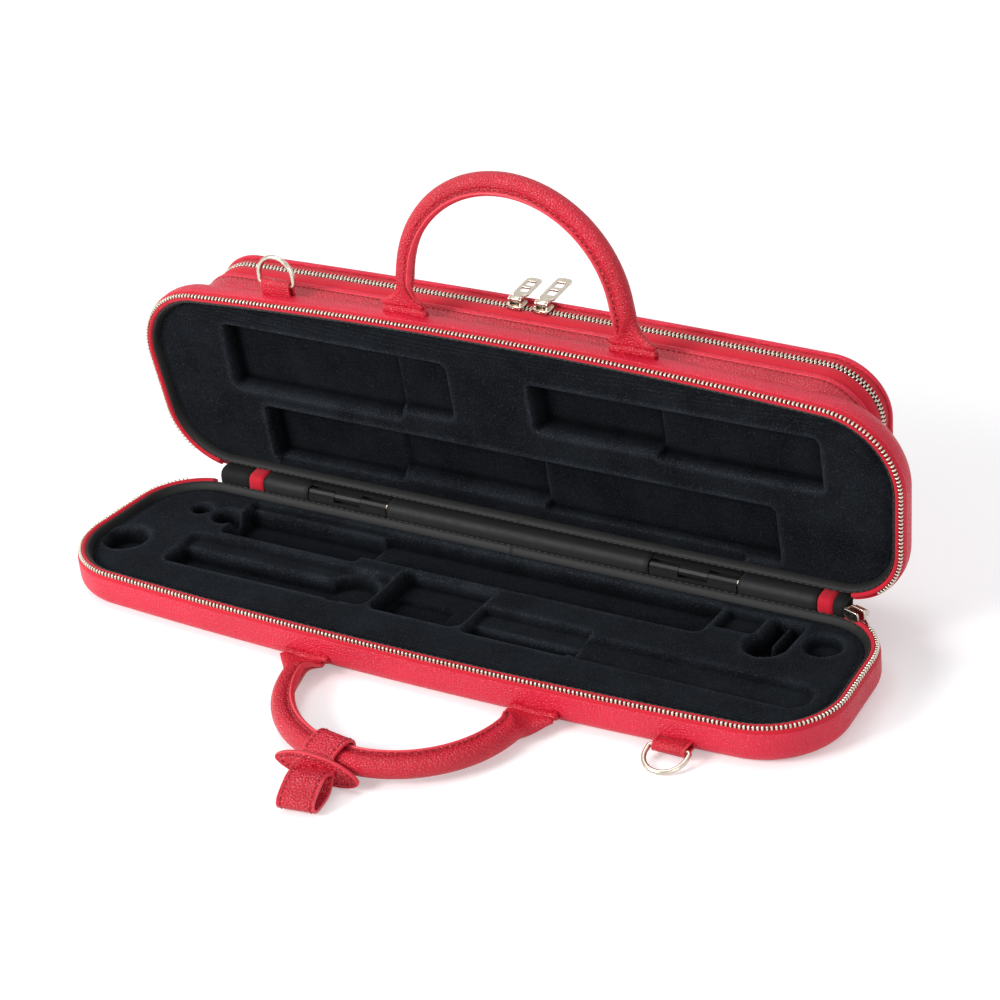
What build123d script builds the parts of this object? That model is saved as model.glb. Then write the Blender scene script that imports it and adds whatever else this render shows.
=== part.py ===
"""Soft flute case: a zipped leather tray and lid with moulded inserts, a zipped outer pocket,
two rolled handles, a keeper strap and two D-rings, modelled with the lid standing open.

Millimetres. Z is up and Z = 0 is the rest face under the tray. X runs along the case, the handles
are on the -Y side and the lid hinge is on the +Y side. Pieces of the lid are made as if the case
were shut and then swung open about the hinge pins.
"""
from build123d import *
import math
import os

# Sides of the prisms that stand for round rods, eyes and tubes, and straight runs of a bend
rod_sides = 8
tube_sides = 8
hole_sides = 16
arch_runs = 8
ring_runs = 8

# How far a cutting body reaches past what it cuts
over_cut = 1.0

# Outline of both halves in plan, along the zip teeth
front_length = 440.0
back_length = 422.0
case_width = 116.0
front_bow = 9.0
front_corner = 41.0
back_corner = 37.0

# Heights of the halves and the lid's opening
tray_depth = 22.5
closing_gap = 0.6
open_angle = 84.0

# Moulded leather shells
skin_inset = 0.8
shell_wall = 3.0
shell_floor = 2.4
tray_edge_round = 8.0
lid_edge_round = 14.0
edge_steps = 3
rim_skin = 1.1
rabbet_depth = 4.2

# Zip between tray and lid
tape_thickness = 0.8
tape_show = 0.8
tooth_height = 3.8
tooth_root = 2.4
tooth_width = 1.8
tooth_pitch = 7.2
row_phase = 0.25
seat_gap = 0.05
zip_end_half = 184.0
zip_start_gap = 14.0

# Binding round the inside of each rim
binding_width = 5.2
binding_bevel = 1.6

# Moulded plush inserts
insert_gap = 0.3
insert_drop = 6.0
insert_bevel = 2.0

# Pockets of the tray's insert, in which the three joints of a flute lie
joint_pocket_depth = 11.0
foot_pocket_depth = 10.0
shallow_step = 3.0
rest_depth = 4.0
pocket_corner = 2.0
foot_joint_x = (-163.0, -44.0)
foot_joint_y = (-21.0, -2.0)
foot_ledge_y = (-21.0, 8.0)
foot_ring_centre = (-58.5, -10.0)
foot_ring_radius = 15.0
body_joint_x = (-152.0, 123.0)
body_joint_y = (14.0, 42.0)
body_ledge_y = (20.0, 46.5)
body_step_x = -69.0
body_shallow_depth = 8.0
accessory_x = (-39.0, 13.0)
accessory_y = (-21.0, 18.0)
accessory_corner = 3.5
accessory_depth = 9.0
accessory_well_x = (-36.0, -4.0)
accessory_well_y = (-20.0, 4.0)
accessory_well_depth = 11.6
head_joint_x = (16.0, 198.0)
head_joint_y = (-23.0, -3.0)
head_rest_y = (-23.0, 1.0)
head_groove_y = (-23.0, -13.0)
head_step_x = 76.0
head_corner = 5.0
plug_rest_x = (127.0, 147.0)
plug_rest_y = (28.0, 44.0)
plug_slot_x = (151.0, 168.0)
plug_slot_y = (20.0, 45.0)
fin_x = (158.2, 160.6)
fin_y = (24.0, 44.9)
fin_foot = 0.5
left_hole = (-195.5, -10.0)
small_hole = (-176.0, 30.0)
rod_hole = (-159.0, 28.0)
right_hole = (157.5, 22.0)
round_recess = (183.0, 31.0)
left_hole_radius = 11.4
small_hole_radius = 5.0
rod_hole_radius = 7.0
right_hole_radius = 10.5
round_recess_radius = 9.0
round_recess_depth = 5.0
finger_depth = 9.0

# Pockets of the lid's insert, for a piccolo and for cloths, seen as if in a tray
rod_pocket_x = (-164.5, -62.0)
rod_pocket_y = (-32.5, 3.5)
rod_pocket_depth = 9.0
cloth_pocket_x = (-66.0, -30.0)
cloth_pocket_y = (-33.5, -1.5)
cloth_pocket_depth = 6.0
piccolo_x = (-148.0, 145.5)
piccolo_y = (14.0, 46.0)
piccolo_middle_y = (14.0, 42.0)
piccolo_ledge_x = (-147.0, 126.0)
piccolo_ledge_y = (38.0, 50.0)
piccolo_steps_x = (-70.0, 15.0)
piccolo_depths = (10.0, 12.5, 8.0)
head_pocket_x = (18.0, 172.5)
head_pocket_y = (-30.0, -4.0)
head_shallow_y = (-30.0, -1.0)
head_pocket_step_x = 86.0
head_pocket_depths = (11.0, 8.0)
section_overlap = 1.0

# Hinge at the back: two butt hinges and a vinyl strip between them
hinge_centre = 101.0
leaf_length = 48.0
leaf_thickness = 0.8
knuckle_radius = 2.1
knuckle_count = 3
knuckle_gap = 0.3
pin_radius = 1.1
pin_clearance = 0.08
pin_head = 1.2
strip_ends = (-153.5, 167.5)

# Fabric stays and red tabs at both ends of the hinge
left_stay = (-181.0, -163.1)
left_tab = (-162.9, -154.0)
right_tab = (168.0, 175.9)
right_stay = (176.1, 183.0)

# Rolled leather handles
handle_offset = 13.0
handle_span = 128.0
handle_tube = 5.6
tray_handle_straights = (2.63, 1.89)
lid_handle_straights = (5.11, 5.11)
tray_handle_slopes = (16.0, 4.0)
lid_handle_slopes = (9.0, 9.0)
handle_flare_length = 15.0
handle_collar = 2.5
handle_foot_width = 26.0
handle_foot_thickness = 4.6
handle_foot_bevel = 1.6
handle_fold_share = 0.9
welt_reach = 8.4
welt_thickness = 3.0
anchor_width = 27.0
anchor_height = 6.6
anchor_reach = 2.2
handle_gap = 0.35
tray_handle_height = 6.4
tray_handle_lean = 1.8
lid_handle_height = 12.0
lid_handle_lean = 8.0

# Keeper strap on the tray handle: a band, a slotted leaf and a loop
keeper_turn = 9.0
keeper_width = 18.6
keeper_leather = 1.5
keeper_gap = 1.1
keeper_throat = 4.4
keeper_leaf_width = 42.0
keeper_leaf_height = 13.6
keeper_leaf_thickness = 1.8
keeper_leaf_tip = 1.6
keeper_leaf_distance = 10.8
keeper_leaf_roll = 12.0
keeper_loop_turn = 18.0
keeper_loop_tilt = 13.0
keeper_loop_mouth = 5.6
keeper_loop_tip = 3.6
keeper_loop_spacing = 13.3
keeper_loop_gap = 0.4

# D-rings and their leather tabs
ring_wire = 1.25
ring_radius = 10.2
ring_leg = 3.0
ring_tab_width = 16.6
ring_tab_leather = 1.4
ring_clearance = 0.1
tray_ring_x = 149.0
tray_ring_height = 5.2
lid_ring_x = -128.5
lid_ring_height = 13.0
ring_reach = 5.2
ring_floor_gap = 0.3
wall_bite = 5.0
lid_ring_lean = 8.0

# Outer pocket on the lid
pocket_front_length = 386.0
pocket_back_length = 370.0
pocket_front_inset = 5.5
pocket_back_inset = 14.0
pocket_bow = 3.0
pocket_front_corner = 27.0
pocket_back_corner = 20.0
pocket_wall = 1.6
pocket_seam_height = 26.5
piping_radius = 1.2
pocket_tape_width = 7.0
pocket_chain_overlap = 1.7
panel_overhang = 1.2
panel_bevel = 1.2
outer_tape_width = 2.4
pocket_panel_thickness = 2.8
pocket_zip_end = 30.0
pocket_tooth_pitch = 7.6
fold_gap = 0.4

# Zip sliders and pulls
slider_length = 10.0
slider_width = 7.6
slider_waist = 5.4
slider_plate = 1.3
slider_clearance = 0.35
slider_left_x = -3.5
slider_right_x = 11.5
post_spacing = 6.4
post_length = 1.1
post_width = 2.6
pull_rod = 0.8
pull_play = 0.15
pull_eye_wall = 0.7
pull_thickness = 1.2
pull_neck = 3.4
pull_neck_width = 4.0
pull_width = 8.6
pull_bevel = 2.2
pocket_pull_lengths = (20.0, 24.0)
main_pull_length = 16.0
pull_window_width = 5.0
pull_window_share = 0.24
pull_window_offset = 0.75
main_slider_x = 188.0
main_slider_length = 9.0
main_slider_top = 24.9

# Values that follow from the sizes above
front_y = -case_width / 2
back_y = case_width / 2
closing_height = tray_depth
hinge_height = closing_height
facing_phase = row_phase + 1 / 2
tooth_tip = closing_height - closing_gap / 2
tape_top = tooth_tip - tooth_height - seat_gap
rim_height = tape_top - tape_show
rabbet_floor = rim_height - rabbet_depth
tape_inset = skin_inset + rim_skin + 2 * seat_gap
tooth_line_inset = tape_inset + tape_thickness / 2
binding_inset = tape_inset + tape_thickness + 2 * seat_gap
insert_inset = binding_inset + binding_width + insert_gap
insert_height = closing_height - insert_drop
seam_top = pocket_seam_height + 2 * piping_radius
pocket_tape_top = seam_top + pocket_tape_width
pocket_row_top = pocket_tape_top + seat_gap + tooth_height
outer_row_low = pocket_row_top - pocket_chain_overlap
outer_row_top = outer_row_low + tooth_height
pocket_chain_height = (pocket_row_top + outer_row_low) / 2
outer_tape_low = outer_row_top + seat_gap
panel_low = outer_tape_low + outer_tape_width
panel_top = panel_low + pocket_panel_thickness
pocket_front_y = front_y + pocket_front_inset
pocket_back_y = back_y - pocket_back_inset
chain_inset = pocket_wall / 2
chain_reach = tooth_root / 2 + slider_clearance
ring_length = ring_leg + ring_radius
tray_ring_drop = tray_ring_height - ring_wire - ring_floor_gap
tray_ring_lean = -math.degrees(math.asin(tray_ring_drop / ring_length))
eye_radius = pull_rod + pull_play + pull_eye_wall
rod_height = slider_plate + eye_radius + slider_clearance


def rounded_outline(front, back, low_y, high_y, bow, low_round, high_round):
    """Trapezoid with a bowed front side and rounded corners, as a face on Z = 0."""
    front_left = (-front / 2, low_y + bow)
    front_right = (front / 2, low_y + bow)
    back_right = (back / 2, high_y)
    back_left = (-back / 2, high_y)
    bowed_side = ThreePointArc(front_left, (0, low_y), front_right)
    sides = [Line(front_right, back_right), Line(back_right, back_left), Line(back_left, front_left)]
    face = Face(Wire([bowed_side, *sides]))
    face = face.fillet_2d(low_round, face.vertices().sort_by(Axis.Y)[:2])
    return face.fillet_2d(high_round, face.vertices().sort_by(Axis.Y)[-2:])


def case_face(inset):
    """Plan of a half of the case, drawn in from the zip teeth."""
    outline = rounded_outline(
        front_length, back_length, front_y, back_y, front_bow, front_corner, back_corner
    )
    return offset(outline, amount=-inset)


def pocket_face(inset):
    """Plan of the outer pocket, drawn in from its gusset's outer face."""
    outline = rounded_outline(
        pocket_front_length,
        pocket_back_length,
        pocket_front_y,
        pocket_back_y,
        pocket_bow,
        pocket_front_corner,
        pocket_back_corner,
    )
    return offset(outline, amount=-inset) if inset else Sketch() + outline


def slab(face, low, high):
    """Upright prism on a plan, between two heights."""
    return Pos(0, 0, low) * extrude(face, amount=high - low, dir=(0, 0, 1))


def ring(plan, outer_inset, inner_inset, low, high):
    """Upright band between two insets of a plan."""
    return slab(plan(outer_inset), low, high) - slab(plan(inner_inset), low - over_cut, high + over_cut)


def rod(radius, length):
    """Bar along X with many sides, circumscribed by its radius."""
    section = Plane.YZ * Rot(0, 0, 180 / rod_sides) * RegularPolygon(radius, rod_sides)
    return Pos(-length / 2, 0, 0) * extrude(section, amount=length, dir=(1, 0, 0))


def bore(radius, length):
    """Hole along X for a rod of a radius, wide enough for it to turn."""
    return rod(radius / math.cos(math.pi / rod_sides), length)


def block(x_range, y_range, z_range):
    """Box given by its three ranges."""
    size = [high - low for low, high in (x_range, y_range, z_range)]
    middle = [(high + low) / 2 for low, high in (x_range, y_range, z_range)]
    return Pos(*middle) * Box(*size)


def bevelled_block(x_range, y_range, z_range, corner):
    """Box with bevelled upright corners."""
    size = [high - low for low, high in (x_range, y_range)]
    middle = [(high + low) / 2 for low, high in (x_range, y_range)]
    plan = chamfer(Rectangle(*size).vertices(), corner)
    return Pos(*middle, z_range[0]) * extrude(plan, z_range[1] - z_range[0])


def to_lid(piece):
    """A piece made for the tray, mirrored to the shut lid."""
    return mirror(piece, about=Plane.XY.offset(closing_height))


def opened(piece):
    """A piece of the shut lid, swung open about the hinge pins."""
    return piece.rotate(Axis((0, back_y, hinge_height), (1, 0, 0)), -open_angle)


def save(name, *pieces):
    """Write the solids of one sub-part."""
    solids = [solid for piece in pieces for solid in piece.solids()]
    export_step(Compound(solids), f"parts/{name}.step")


# Shells, binding and inserts


def rounded_slab(inset, low, high, edge_round, steps):
    """Prism on the case's plan with its lower edge rounded in straight steps."""
    sections = []
    for step in range(steps + 1):
        angle = math.pi / 2 * step / steps
        drawn_in = inset + edge_round * (1 - math.sin(angle))
        height = low + edge_round * (1 - math.cos(angle))
        sections.append(Pos(0, 0, height) * case_face(drawn_in).face())
    return loft(sections, ruled=True) + slab(case_face(inset), low + edge_round, high)


def shell_envelope(edge_round):
    """Outer form of a half, without its hollow."""
    return rounded_slab(skin_inset, 0, rim_height, edge_round, edge_steps)


def shell_hollow(edge_round, inset):
    """Inner form of a half, bevelled at its floor."""
    return rounded_slab(inset, shell_floor, closing_height, edge_round - shell_floor, 1)


def shell(edge_round):
    """Leather-covered moulded half with a rabbet for the zip tape round its rim."""
    rabbet = slab(case_face(skin_inset + rim_skin), rabbet_floor, closing_height)
    return shell_envelope(edge_round) - shell_hollow(edge_round, skin_inset + shell_wall) - rabbet


def binding():
    """Satin bead that covers the inner edge of the rim."""
    inner = binding_inset + binding_width
    band = ring(case_face, binding_inset, inner, rabbet_floor, tape_top)
    top = band.faces().sort_by(Axis.Z)[-1]
    return chamfer(top.inner_wires()[0].edges(), binding_bevel)


def insert_blank(edge_round):
    """Moulded foam that fills the shell under and inside the binding."""
    lower = shell_hollow(edge_round, skin_inset + shell_wall + insert_gap)
    lower -= slab(case_face(0), rabbet_floor - insert_gap, closing_height + over_cut)
    upper = slab(case_face(insert_inset), rabbet_floor - insert_gap, insert_height)
    upper = chamfer(upper.faces().sort_by(Axis.Z)[-1].edges(), insert_bevel)
    return lower + upper


def pocket_cut(x_range, y_range, depth, corner):
    """Pocket sunk from the insert's surface."""
    z_range = (insert_height - depth, insert_height + over_cut)
    return bevelled_block(x_range, y_range, z_range, corner)


def round_cut(centre, radius, depth):
    """Round hole sunk from the insert's surface."""
    hole = extrude(RegularPolygon(radius, hole_sides), depth + over_cut)
    return Pos(*centre, insert_height - depth) * hole


def foot_pockets():
    """Pocket for the foot joint at the tray's front left, with a round end."""
    return [
        pocket_cut(foot_joint_x, foot_joint_y, foot_pocket_depth, pocket_corner),
        pocket_cut(foot_joint_x, foot_ledge_y, shallow_step, pocket_corner),
        round_cut(foot_ring_centre, foot_ring_radius, foot_pocket_depth),
    ]


def body_pockets():
    """Long stepped pocket for the body joint along the tray's back."""
    low, high = body_joint_x
    trough_x = (body_step_x - section_overlap, high)
    return [
        pocket_cut((low, body_step_x), body_joint_y, joint_pocket_depth, pocket_corner),
        pocket_cut(body_joint_x, body_ledge_y, shallow_step, pocket_corner),
        pocket_cut(trough_x, body_ledge_y, body_shallow_depth, pocket_corner),
    ]


def head_pockets():
    """Pocket for the head joint at the tray's front right: a groove, a rest and a shallow end."""
    low, high = head_joint_x
    return [
        pocket_cut((low, head_step_x), head_rest_y, rest_depth, pocket_corner),
        pocket_cut((low, head_step_x), head_groove_y, foot_pocket_depth, pocket_corner),
        pocket_cut((head_step_x - section_overlap, high), head_joint_y, shallow_step, head_corner),
    ]


def small_pockets():
    """Accessory well, plug rest and the round finger holes of the tray."""
    return [
        pocket_cut(accessory_x, accessory_y, accessory_depth, accessory_corner),
        pocket_cut(accessory_well_x, accessory_well_y, accessory_well_depth, accessory_corner),
        pocket_cut(plug_rest_x, plug_rest_y, rest_depth, pocket_corner),
        pocket_cut(plug_slot_x, plug_slot_y, foot_pocket_depth, pocket_corner),
        round_cut(left_hole, left_hole_radius, finger_depth),
        round_cut(small_hole, small_hole_radius, finger_depth),
        round_cut(rod_hole, rod_hole_radius, finger_depth),
        round_cut(right_hole, right_hole_radius, joint_pocket_depth),
        round_cut(round_recess, round_recess_radius, round_recess_depth),
    ]


def tray_insert():
    """Insert of the tray, with a fin left standing in its slot."""
    body = insert_blank(tray_edge_round)
    for cut in foot_pockets() + body_pockets() + head_pockets() + small_pockets():
        body -= cut
    fin_z = (insert_height - foot_pocket_depth - fin_foot, insert_height - shallow_step)
    return body + block(fin_x, fin_y, fin_z)


def lid_wells():
    """Length, width and depth of each pocket of the lid's insert."""
    low, high = piccolo_x
    first, second = piccolo_steps_x
    head_low, head_high = head_pocket_x
    return [
        (rod_pocket_x, rod_pocket_y, rod_pocket_depth),
        (cloth_pocket_x, cloth_pocket_y, cloth_pocket_depth),
        ((low, first), piccolo_y, piccolo_depths[0]),
        ((first - section_overlap, second), piccolo_middle_y, piccolo_depths[1]),
        ((second - section_overlap, high), piccolo_y, piccolo_depths[2]),
        (piccolo_ledge_x, piccolo_ledge_y, shallow_step),
        ((head_low, head_pocket_step_x), head_pocket_y, head_pocket_depths[0]),
        ((head_pocket_step_x - section_overlap, head_high), head_shallow_y, head_pocket_depths[1]),
    ]


def lid_insert():
    """Insert of the lid, made as if for a tray."""
    body = insert_blank(lid_edge_round)
    for x_range, y_range, depth in lid_wells():
        body -= pocket_cut(x_range, y_range, depth, pocket_corner)
    return body


# Zip rows


def hinge_side(x_range):
    """Space over the hinge side between two distances along the case."""
    return block(x_range, (0, case_width), (0, closing_height))


def zip_tape():
    """Tape sewn in the rabbet, from one hinge end round the front to the other."""
    band = ring(case_face, tape_inset, tape_inset + tape_thickness, rabbet_floor, tape_top)
    return band - hinge_side((-zip_end_half, zip_end_half))


def tooth_form():
    """Tapered tooth, its root across the tape and its point outward."""
    half = tooth_width / 2
    plan = Polyline(
        (-half, tooth_root / 2), (half, tooth_root / 2), (0, -tooth_root / 2), close=True
    )
    return extrude(make_face(plan), amount=tooth_height, dir=(0, 0, 1))


def tooth_places(plan, inset, pitch, phase):
    """Points and outward directions of the teeth along an inset of a plan."""
    line = plan(inset).face().outer_wire()
    count = round(line.length / pitch)
    for number in range(count):
        share = (number + phase) / count
        point = line.position_at(share)
        along = line.tangent_at(share)
        yield point, math.degrees(math.atan2(along.Y, along.X))


def teeth(plan, inset, low, pitch, phase, keep):
    """One row of teeth where keep allows them."""
    form = tooth_form()
    row = []
    for point, angle in tooth_places(plan, inset, pitch, phase):
        if keep(point):
            row.append(Pos(point.X, point.Y, low) * Rot(0, 0, outward_turn(point, angle)) * form)
    return row


def outward_turn(point, angle):
    """Turn that points a tooth away from the middle of the plan."""
    turn = math.radians(angle)
    reach = math.sin(turn) * point.X - math.cos(turn) * point.Y
    return angle if reach > 0 else angle + 180


def on_zip(point):
    """True where a row of the main zip has teeth."""
    return point.Y < 0 or abs(point.X) > zip_end_half + zip_start_gap


def main_teeth(phase):
    """Teeth of one half of the main zip."""
    return teeth(case_face, tooth_line_inset, tape_top + seat_gap, tooth_pitch, phase, on_zip)


# Hinge side


def leaf_channel(centre, allowance):
    """Length of the rabbet that a hinge leaf takes."""
    half = leaf_length / 2 + allowance
    return block((centre - half, centre + half), (0, case_width), (0, closing_height + over_cut))


def rabbet_band(x_range):
    """Band that stands in the back of the rabbet, up to the closing plane."""
    band = ring(case_face, tape_inset, tape_inset + tape_thickness, rabbet_floor, tooth_tip)
    return band & hinge_side(x_range)


def hinge_strip():
    """Vinyl strip along the hinge side, left out where the hinge leaves are."""
    band = rabbet_band(strip_ends)
    for centre in (-hinge_centre, hinge_centre):
        band -= leaf_channel(centre, 2 * knuckle_gap)
    return band


def knuckle_ranges(first):
    """Lengths along the pin of every second knuckle."""
    pitch = leaf_length / knuckle_count
    for number in range(first, knuckle_count, 2):
        low = -leaf_length / 2 + number * pitch
        yield low + knuckle_gap / 2, low + pitch - knuckle_gap / 2


def hinge_leaf(first):
    """Leaf in the rabbet with knuckles round the pin, as if on the tray."""
    leaf_back = back_y - tape_inset
    leaf_front = leaf_back - leaf_thickness
    half = leaf_length / 2
    leaf_top = hinge_height - knuckle_radius - knuckle_gap
    body = block((-half, half), (leaf_front, leaf_back), (rabbet_floor, leaf_top))
    axis = Pos(0, back_y, hinge_height)
    for low, high in knuckle_ranges(first):
        barrel = axis * Pos((low + high) / 2, 0, 0) * rod(knuckle_radius, high - low)
        arm = block((low, high), (leaf_front, back_y), (leaf_top, hinge_height))
        body += barrel + arm
    return body - axis * bore(pin_radius + pin_clearance, leaf_length + 2 * over_cut)


def hinge_pin():
    """Pin with a head at its right end."""
    shank = rod(pin_radius, leaf_length)
    head = Pos((leaf_length + pin_head) / 2, 0, 0) * rod(knuckle_radius, pin_head)
    return Pos(0, back_y, hinge_height) * (shank + head)


# Handles


def flare_half(slope):
    """Distance of a leg's upper end from the middle of its handle."""
    return handle_span / 2 - math.tan(math.radians(slope)) * handle_flare_length


def climb(slope):
    """Height that an arch gains for each length it reaches across, when its leg has that slope."""
    lean = math.radians(slope)
    return (1 - math.sin(lean)) / math.cos(lean)


def handle_apex(straights, slopes):
    """Top of a handle whose two arches meet there: its sideways place and its height."""
    left = flare_half(slopes[0]) + straights[0]
    right = flare_half(slopes[1]) + straights[1]
    left_climb, right_climb = climb(slopes[0]), climb(slopes[1])
    sway = (right * right_climb - left * left_climb) / (left_climb + right_climb)
    return sway, handle_flare_length + (left + sway) * left_climb


def arch(side, straight, slope, apex):
    """Centre and radius of one half of a handle's arch, and the turn from its knee to the top."""
    lean = math.radians(slope)
    reach = flare_half(slope) - side * apex[0] - straight * math.sin(lean)
    radius = reach / math.cos(lean)
    return (apex[0], apex[1] - radius), radius, math.pi / 2 - lean


def arch_points(side, straight, slope, apex):
    """Points from the top of a leg's flare round its arch to the top."""
    (middle_x, middle_y), radius, turn = arch(side, straight, slope, apex)
    leg_x = side * flare_half(slope)
    points = [(leg_x, handle_flare_length - handle_collar), (leg_x, handle_flare_length)]
    for step in range(arch_runs + 1):
        angle = turn * (1 - step / arch_runs)
        points.append((middle_x + side * radius * math.sin(angle), middle_y + radius * math.cos(angle)))
    return points


def handle_path(straights, slopes):
    """Centre line of a handle in its own plane: X across, Y away from the wall."""
    apex = handle_apex(straights, slopes)
    left = arch_points(-1, straights[0], slopes[0], apex)
    right = arch_points(1, straights[1], slopes[1], apex)
    return Wire(Polyline(*left, *right[-2::-1]).edges())


def tube_section():
    """Many-sided round section of a handle."""
    turns = [math.tau * (number + 0.5) / tube_sides for number in range(tube_sides)]
    corners = [(handle_tube * math.cos(turn), handle_tube * math.sin(turn)) for turn in turns]
    return make_face(Polyline(*corners, close=True))


def oblong(middle_x, height, wide, deep, bevel):
    """Corners of an oblong with cut corners, across a handle's plane at a height."""
    quarter = [(wide, deep - bevel), (wide - bevel, deep)]
    half = quarter + [(-x, z) for x, z in reversed(quarter)]
    corners = half + [(-x, -z) for x, z in half]
    return [(middle_x + x, height, z) for x, z in corners]


def between(low, high):
    """Solid between two polygons whose sides run parallel, one to one."""
    faces = [Face(Wire.make_polygon(low)), Face(Wire.make_polygon(high))]
    for number in range(len(low)):
        side = [low[number - 1], low[number], high[number], high[number - 1]]
        faces.append(Face(Wire.make_polygon(side)))
    return Solid(Shell(faces))


def handle_flare(side, slope):
    """Flattened end of the rolled tube, widening to a fold along its foot."""
    foot_x = side * handle_span / 2
    top_x = side * flare_half(slope)
    turn = math.pi / tube_sides
    flat = handle_tube * math.cos(turn)
    tube_bevel = flat - handle_tube * math.sin(turn)
    low = oblong(foot_x, 0, handle_foot_width / 2, handle_foot_thickness / 2, handle_foot_bevel)
    high = oblong(top_x, handle_flare_length - handle_collar, flat, flat, tube_bevel)
    fold = rod(handle_foot_thickness / 2, handle_foot_width * handle_fold_share)
    return between(low, high) + Pos(foot_x, 0, 0) * fold


def carried(section, path):
    """A section carried along a path of straight runs, mitred where they meet."""
    return sweep(section, path=path, transition=Transition.RIGHT)


def handle(straights, slopes):
    """Rolled handle in its own plane, with a sewn welt along its inner side."""
    path = handle_path(straights, slopes)
    start = Plane(origin=path @ 0, x_dir=(0, 0, 1), z_dir=path % 0)
    tube = carried(start * tube_section(), path)
    welt = carried(start * Pos(0, welt_reach / 2) * Rectangle(welt_thickness, welt_reach), path)
    return tube + welt + handle_flare(-1, slopes[0]) + handle_flare(1, slopes[1])


def foot_y():
    """Fold line of the handles' feet, clear of their anchors."""
    return wall_at(handle_offset) - anchor_reach - handle_gap - handle_foot_thickness / 2


def place_handle(piece, height, lean):
    """Put a handle at the front wall, pointing away from it and leaning up."""
    turned = piece.rotate(Axis.X, 180).rotate(Axis.X, -lean)
    return Pos(handle_offset, foot_y(), height) * turned


def handle_anchors(height, envelope):
    """Pair of leather ends sewn to the front wall, trimmed to it."""
    wall_y = wall_at(handle_offset)
    ends = []
    for side in (-1, 1):
        middle = handle_offset + side * handle_span / 2
        x_range = (middle - anchor_width / 2, middle + anchor_width / 2)
        y_range = (wall_y - anchor_reach, wall_y + wall_bite)
        z_range = (height - anchor_height / 2, height + anchor_height / 2)
        ends.append(block(x_range, y_range, z_range) - envelope)
    return ends


# Keeper strap, made round an X axis at the tube's centre, with -Y away from the case


def place_keeper(piece):
    """Put a piece of the keeper round the tray handle's tube, square to it."""
    turn = math.radians(keeper_turn)
    apex = handle_apex(tray_handle_straights, tray_handle_slopes)
    (across, away), radius, _ = arch(-1, tray_handle_straights[0], tray_handle_slopes[0], apex)
    across -= radius * math.sin(turn)
    away += radius * math.cos(turn)
    turned = Pos(across, -away, 0) * Rot(0, 0, -keeper_turn) * piece
    return Pos(handle_offset, foot_y(), tray_handle_height) * Rot(-tray_handle_lean, 0, 0) * turned


def along_x(sketch, width):
    """Prism on a plan drawn in Y and Z, centred on X = 0."""
    return Pos(-width / 2, 0, 0) * extrude(Plane.YZ * sketch, amount=width, dir=(1, 0, 0))


def drop_outline(shrink):
    """Side view of the loop: a wide mouth at the origin narrowing to a round tip toward -Y."""
    mouth = keeper_loop_mouth - shrink
    tip = keeper_loop_tip - shrink
    spread = math.acos((mouth - tip) / keeper_loop_spacing)
    corners = []
    for centre, radius in ((0.0, mouth), (-keeper_loop_spacing, tip)):
        corners.append((centre - radius * math.cos(spread), radius * math.sin(spread)))
    (mouth_x, mouth_y), (tip_x, tip_y) = corners
    flank = make_face(
        Polyline((mouth_x, mouth_y), (tip_x, tip_y), (tip_x, -tip_y), (mouth_x, -mouth_y), close=True)
    )
    mouth_round = RegularPolygon(mouth, hole_sides)
    return flank + mouth_round + Pos(-keeper_loop_spacing, 0) * RegularPolygon(tip, hole_sides)


def keeper_strap():
    """Strap round the tube and welt, through the leaf's slot and out in a loop."""
    inner = handle_tube + keeper_gap
    outer = inner + keeper_leather
    reach = welt_reach + keeper_gap
    box = Rectangle(reach + keeper_leather, 2 * (keeper_throat + keeper_leather))
    sleeve = RegularPolygon(outer, hole_sides) + Pos((reach + keeper_leather) / 2, 0) * box
    hole = RegularPolygon(inner, hole_sides) + Pos(reach / 2, 0) * Rectangle(reach, 2 * keeper_throat)
    half = keeper_width / 2
    start = -keeper_leaf_distance - keeper_leaf_thickness - keeper_loop_gap
    neck = block((-half, half), (start - keeper_leather, 0), (-keeper_leather, keeper_leather))
    centre = Pos(0, start, 0) * Rot(keeper_loop_tilt, 0, 0) * Pos(0, -keeper_loop_mouth, 0)
    rounded = centre * along_x(drop_outline(0), keeper_width)
    hollow = centre * along_x(drop_outline(keeper_leather), keeper_width + 2 * over_cut)
    outside = along_x(sleeve, keeper_width) + Rot(0, 0, keeper_loop_turn) * (neck + rounded - hollow)
    return outside - along_x(hole, 2 * keeper_width)


def keeper_leaf():
    """Pointed leather leaf with a slot that the strap passes through."""
    half = keeper_leaf_width / 2
    rise = keeper_leaf_height / 2
    top = ThreePointArc((-half, 0), (0, rise), (half, 0))
    bottom = ThreePointArc((half, 0), (0, -rise), (-half, 0))
    leaf = Face(Wire([top, bottom]))
    leaf = leaf.fillet_2d(keeper_leaf_tip, leaf.vertices())
    plate = extrude(Plane.XZ * leaf, amount=keeper_leaf_thickness, dir=(0, -1, 0))
    plate = Pos(0, -keeper_leaf_distance, 0) * Rot(0, keeper_leaf_roll, 0) * plate
    across = keeper_width / 2 + seat_gap
    through = keeper_leather + seat_gap
    slot = block((-across, across), (-2 * keeper_leaf_distance, 0), (-through, through))
    return Rot(0, 0, keeper_loop_turn) * (plate - slot)


# D-rings


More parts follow.
